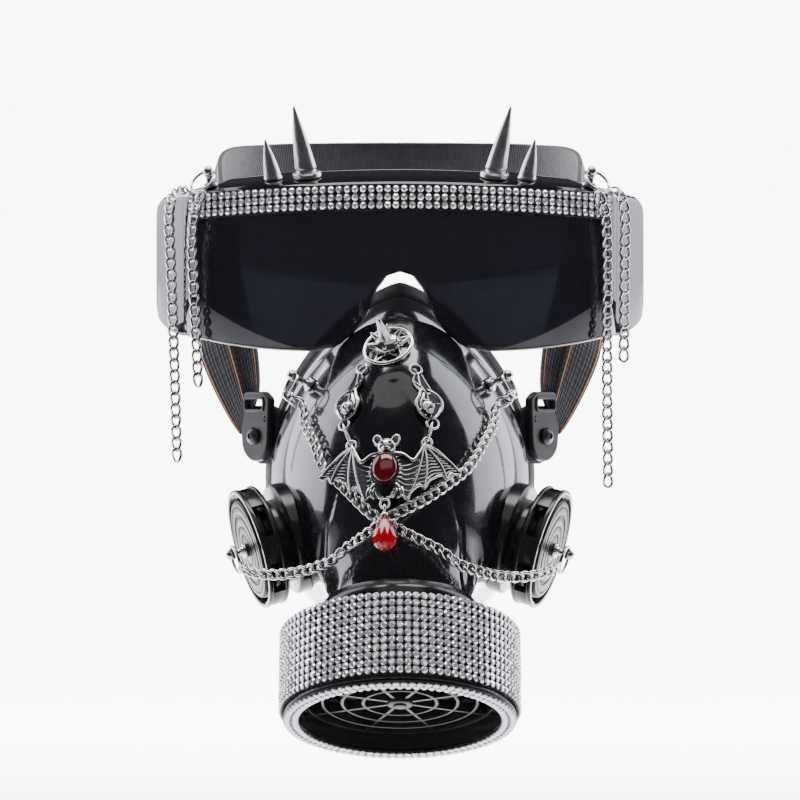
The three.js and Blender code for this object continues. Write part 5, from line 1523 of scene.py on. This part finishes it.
make_mask()
make_seal()
make_visor()
make_temples()
trim_stones()
band_stones()
rim_stones()
make_filter()
for side, sign in SIDES:
    make_valve(side, sign)
make_spikes()
make_studs()
make_buckles()
make_straps()
make_star()
make_dome()
make_leaves()
make_bat()
make_stones()
make_chains()


# ---- stage ----


def stage_look(name, color, rough):
    look = Look(name, Specular_IOR_Level=0.3)
    look.set("Base Color", look.ramp(look.noise(1.5, 3), [(0.3, [c * 0.985 for c in color]), (0.7, color)]))
    look.shader.inputs["Roughness"].default_value = rough
    return look.material


def sweep_part(name, line, mirrored):
    """Strip of the pale sweep; the backdrop stays out of reflections, which keeps the tint dark."""
    verts, faces = [], []
    for y, z in line:
        verts += [(-3, y, z), (3, y, z)]
    for i in range(0, len(verts) - 2, 2):
        faces.append((i, i + 1, i + 3, i + 2))
    mesh = bpy.data.meshes.new(name)
    mesh.from_pydata(verts, [], faces)
    for polygon in mesh.polygons:
        polygon.use_smooth = True
    mesh.materials.append(SWEEP)
    obj = bpy.data.objects.new(name, mesh)
    bpy.context.scene.collection.objects.link(obj)
    obj.visible_glossy = mirrored


def sweep_floor():
    low, back, radius = -0.16, 1.6, 0.7
    angles = [math.pi / 2 * i / 12 for i in range(13)]
    turn = [(back - radius + radius * math.sin(a), low + radius * (1 - math.cos(a))) for a in angles]
    sweep_part("studio_front", [(-2.6, low), (-0.2, low)], False)
    sweep_part("studio_floor", [(-0.2, low), (back - radius, low)], True)
    sweep_part("studio_backdrop", [*turn, (back, 3.2)], False)


def area_light(name, spot, target, size, power, color=(1, 1, 1), mirrored=True):
    data = bpy.data.lights.new(name, "AREA")
    data.shape = "RECTANGLE"
    data.size, data.size_y = size
    data.energy = power
    data.color = color
    obj = bpy.data.objects.new(name, data)
    obj.location = spot
    obj.rotation_euler = (Vector(target) - Vector(spot)).to_track_quat("-Z", "Y").to_euler()
    obj.visible_glossy = mirrored
    bpy.context.scene.collection.objects.link(obj)


SWEEP = stage_look("studio_sweep", (0.88, 0.875, 0.89), 0.7)
sweep_floor()
area_light("backdrop_wash", (0, 0.55, 0.95), (0, 1.6, 0.5), (2.6, 0.5), 150, mirrored=False)
area_light("backdrop_low", (0, 0.35, 0.35), (0, 0.95, -0.16), (2.6, 0.2), 80, mirrored=False)
for side, sign in SIDES:
    area_light(f"side_box_{side}", (sign * 0.84, 0.42, 0.5), (0, -0.02, 0.05), (0.85, 1.1), 12, (0.87, 0.89, 1))
    area_light(f"wing_box_{side}", (sign * 0.62, 1.1, 0.28), (0, 0, 0.05), (0.5, 0.75), 2.8, (0.87, 0.89, 1))
area_light("canopy", (0, -0.75, 1.0), (0, 0, 0), (1.4, 0.55), 2.2)
area_light("top_box", (0, -0.05, 1.1), (0, 0, 0.02), (1.0, 0.5), 14)
area_light("low_box", (0, -0.85, -0.1), (0, 0, -0.06), (0.9, 0.08), 2.5, mirrored=False)

world = bpy.data.worlds.new("studio")
world.use_nodes = True
world.node_tree.nodes["Background"].inputs["Color"].default_value = (0.9, 0.92, 1, 1)
world.node_tree.nodes["Background"].inputs["Strength"].default_value = 0.06
bpy.context.scene.world = world

CAMERA_SPOT = (0, -1.1, 0.014)
SENSOR_MM, LENS_MM = 36, 141.4
camera = bpy.data.cameras.new("camera")
camera.sensor_width = SENSOR_MM
camera.lens = LENS_MM
camera_object = bpy.data.objects.new("camera", camera)
camera_object.location = CAMERA_SPOT
camera_object.rotation_euler = (math.pi / 2, 0, 0)
bpy.context.scene.collection.objects.link(camera_object)
bpy.context.scene.camera = camera_object

bpy.context.view_layer.update()
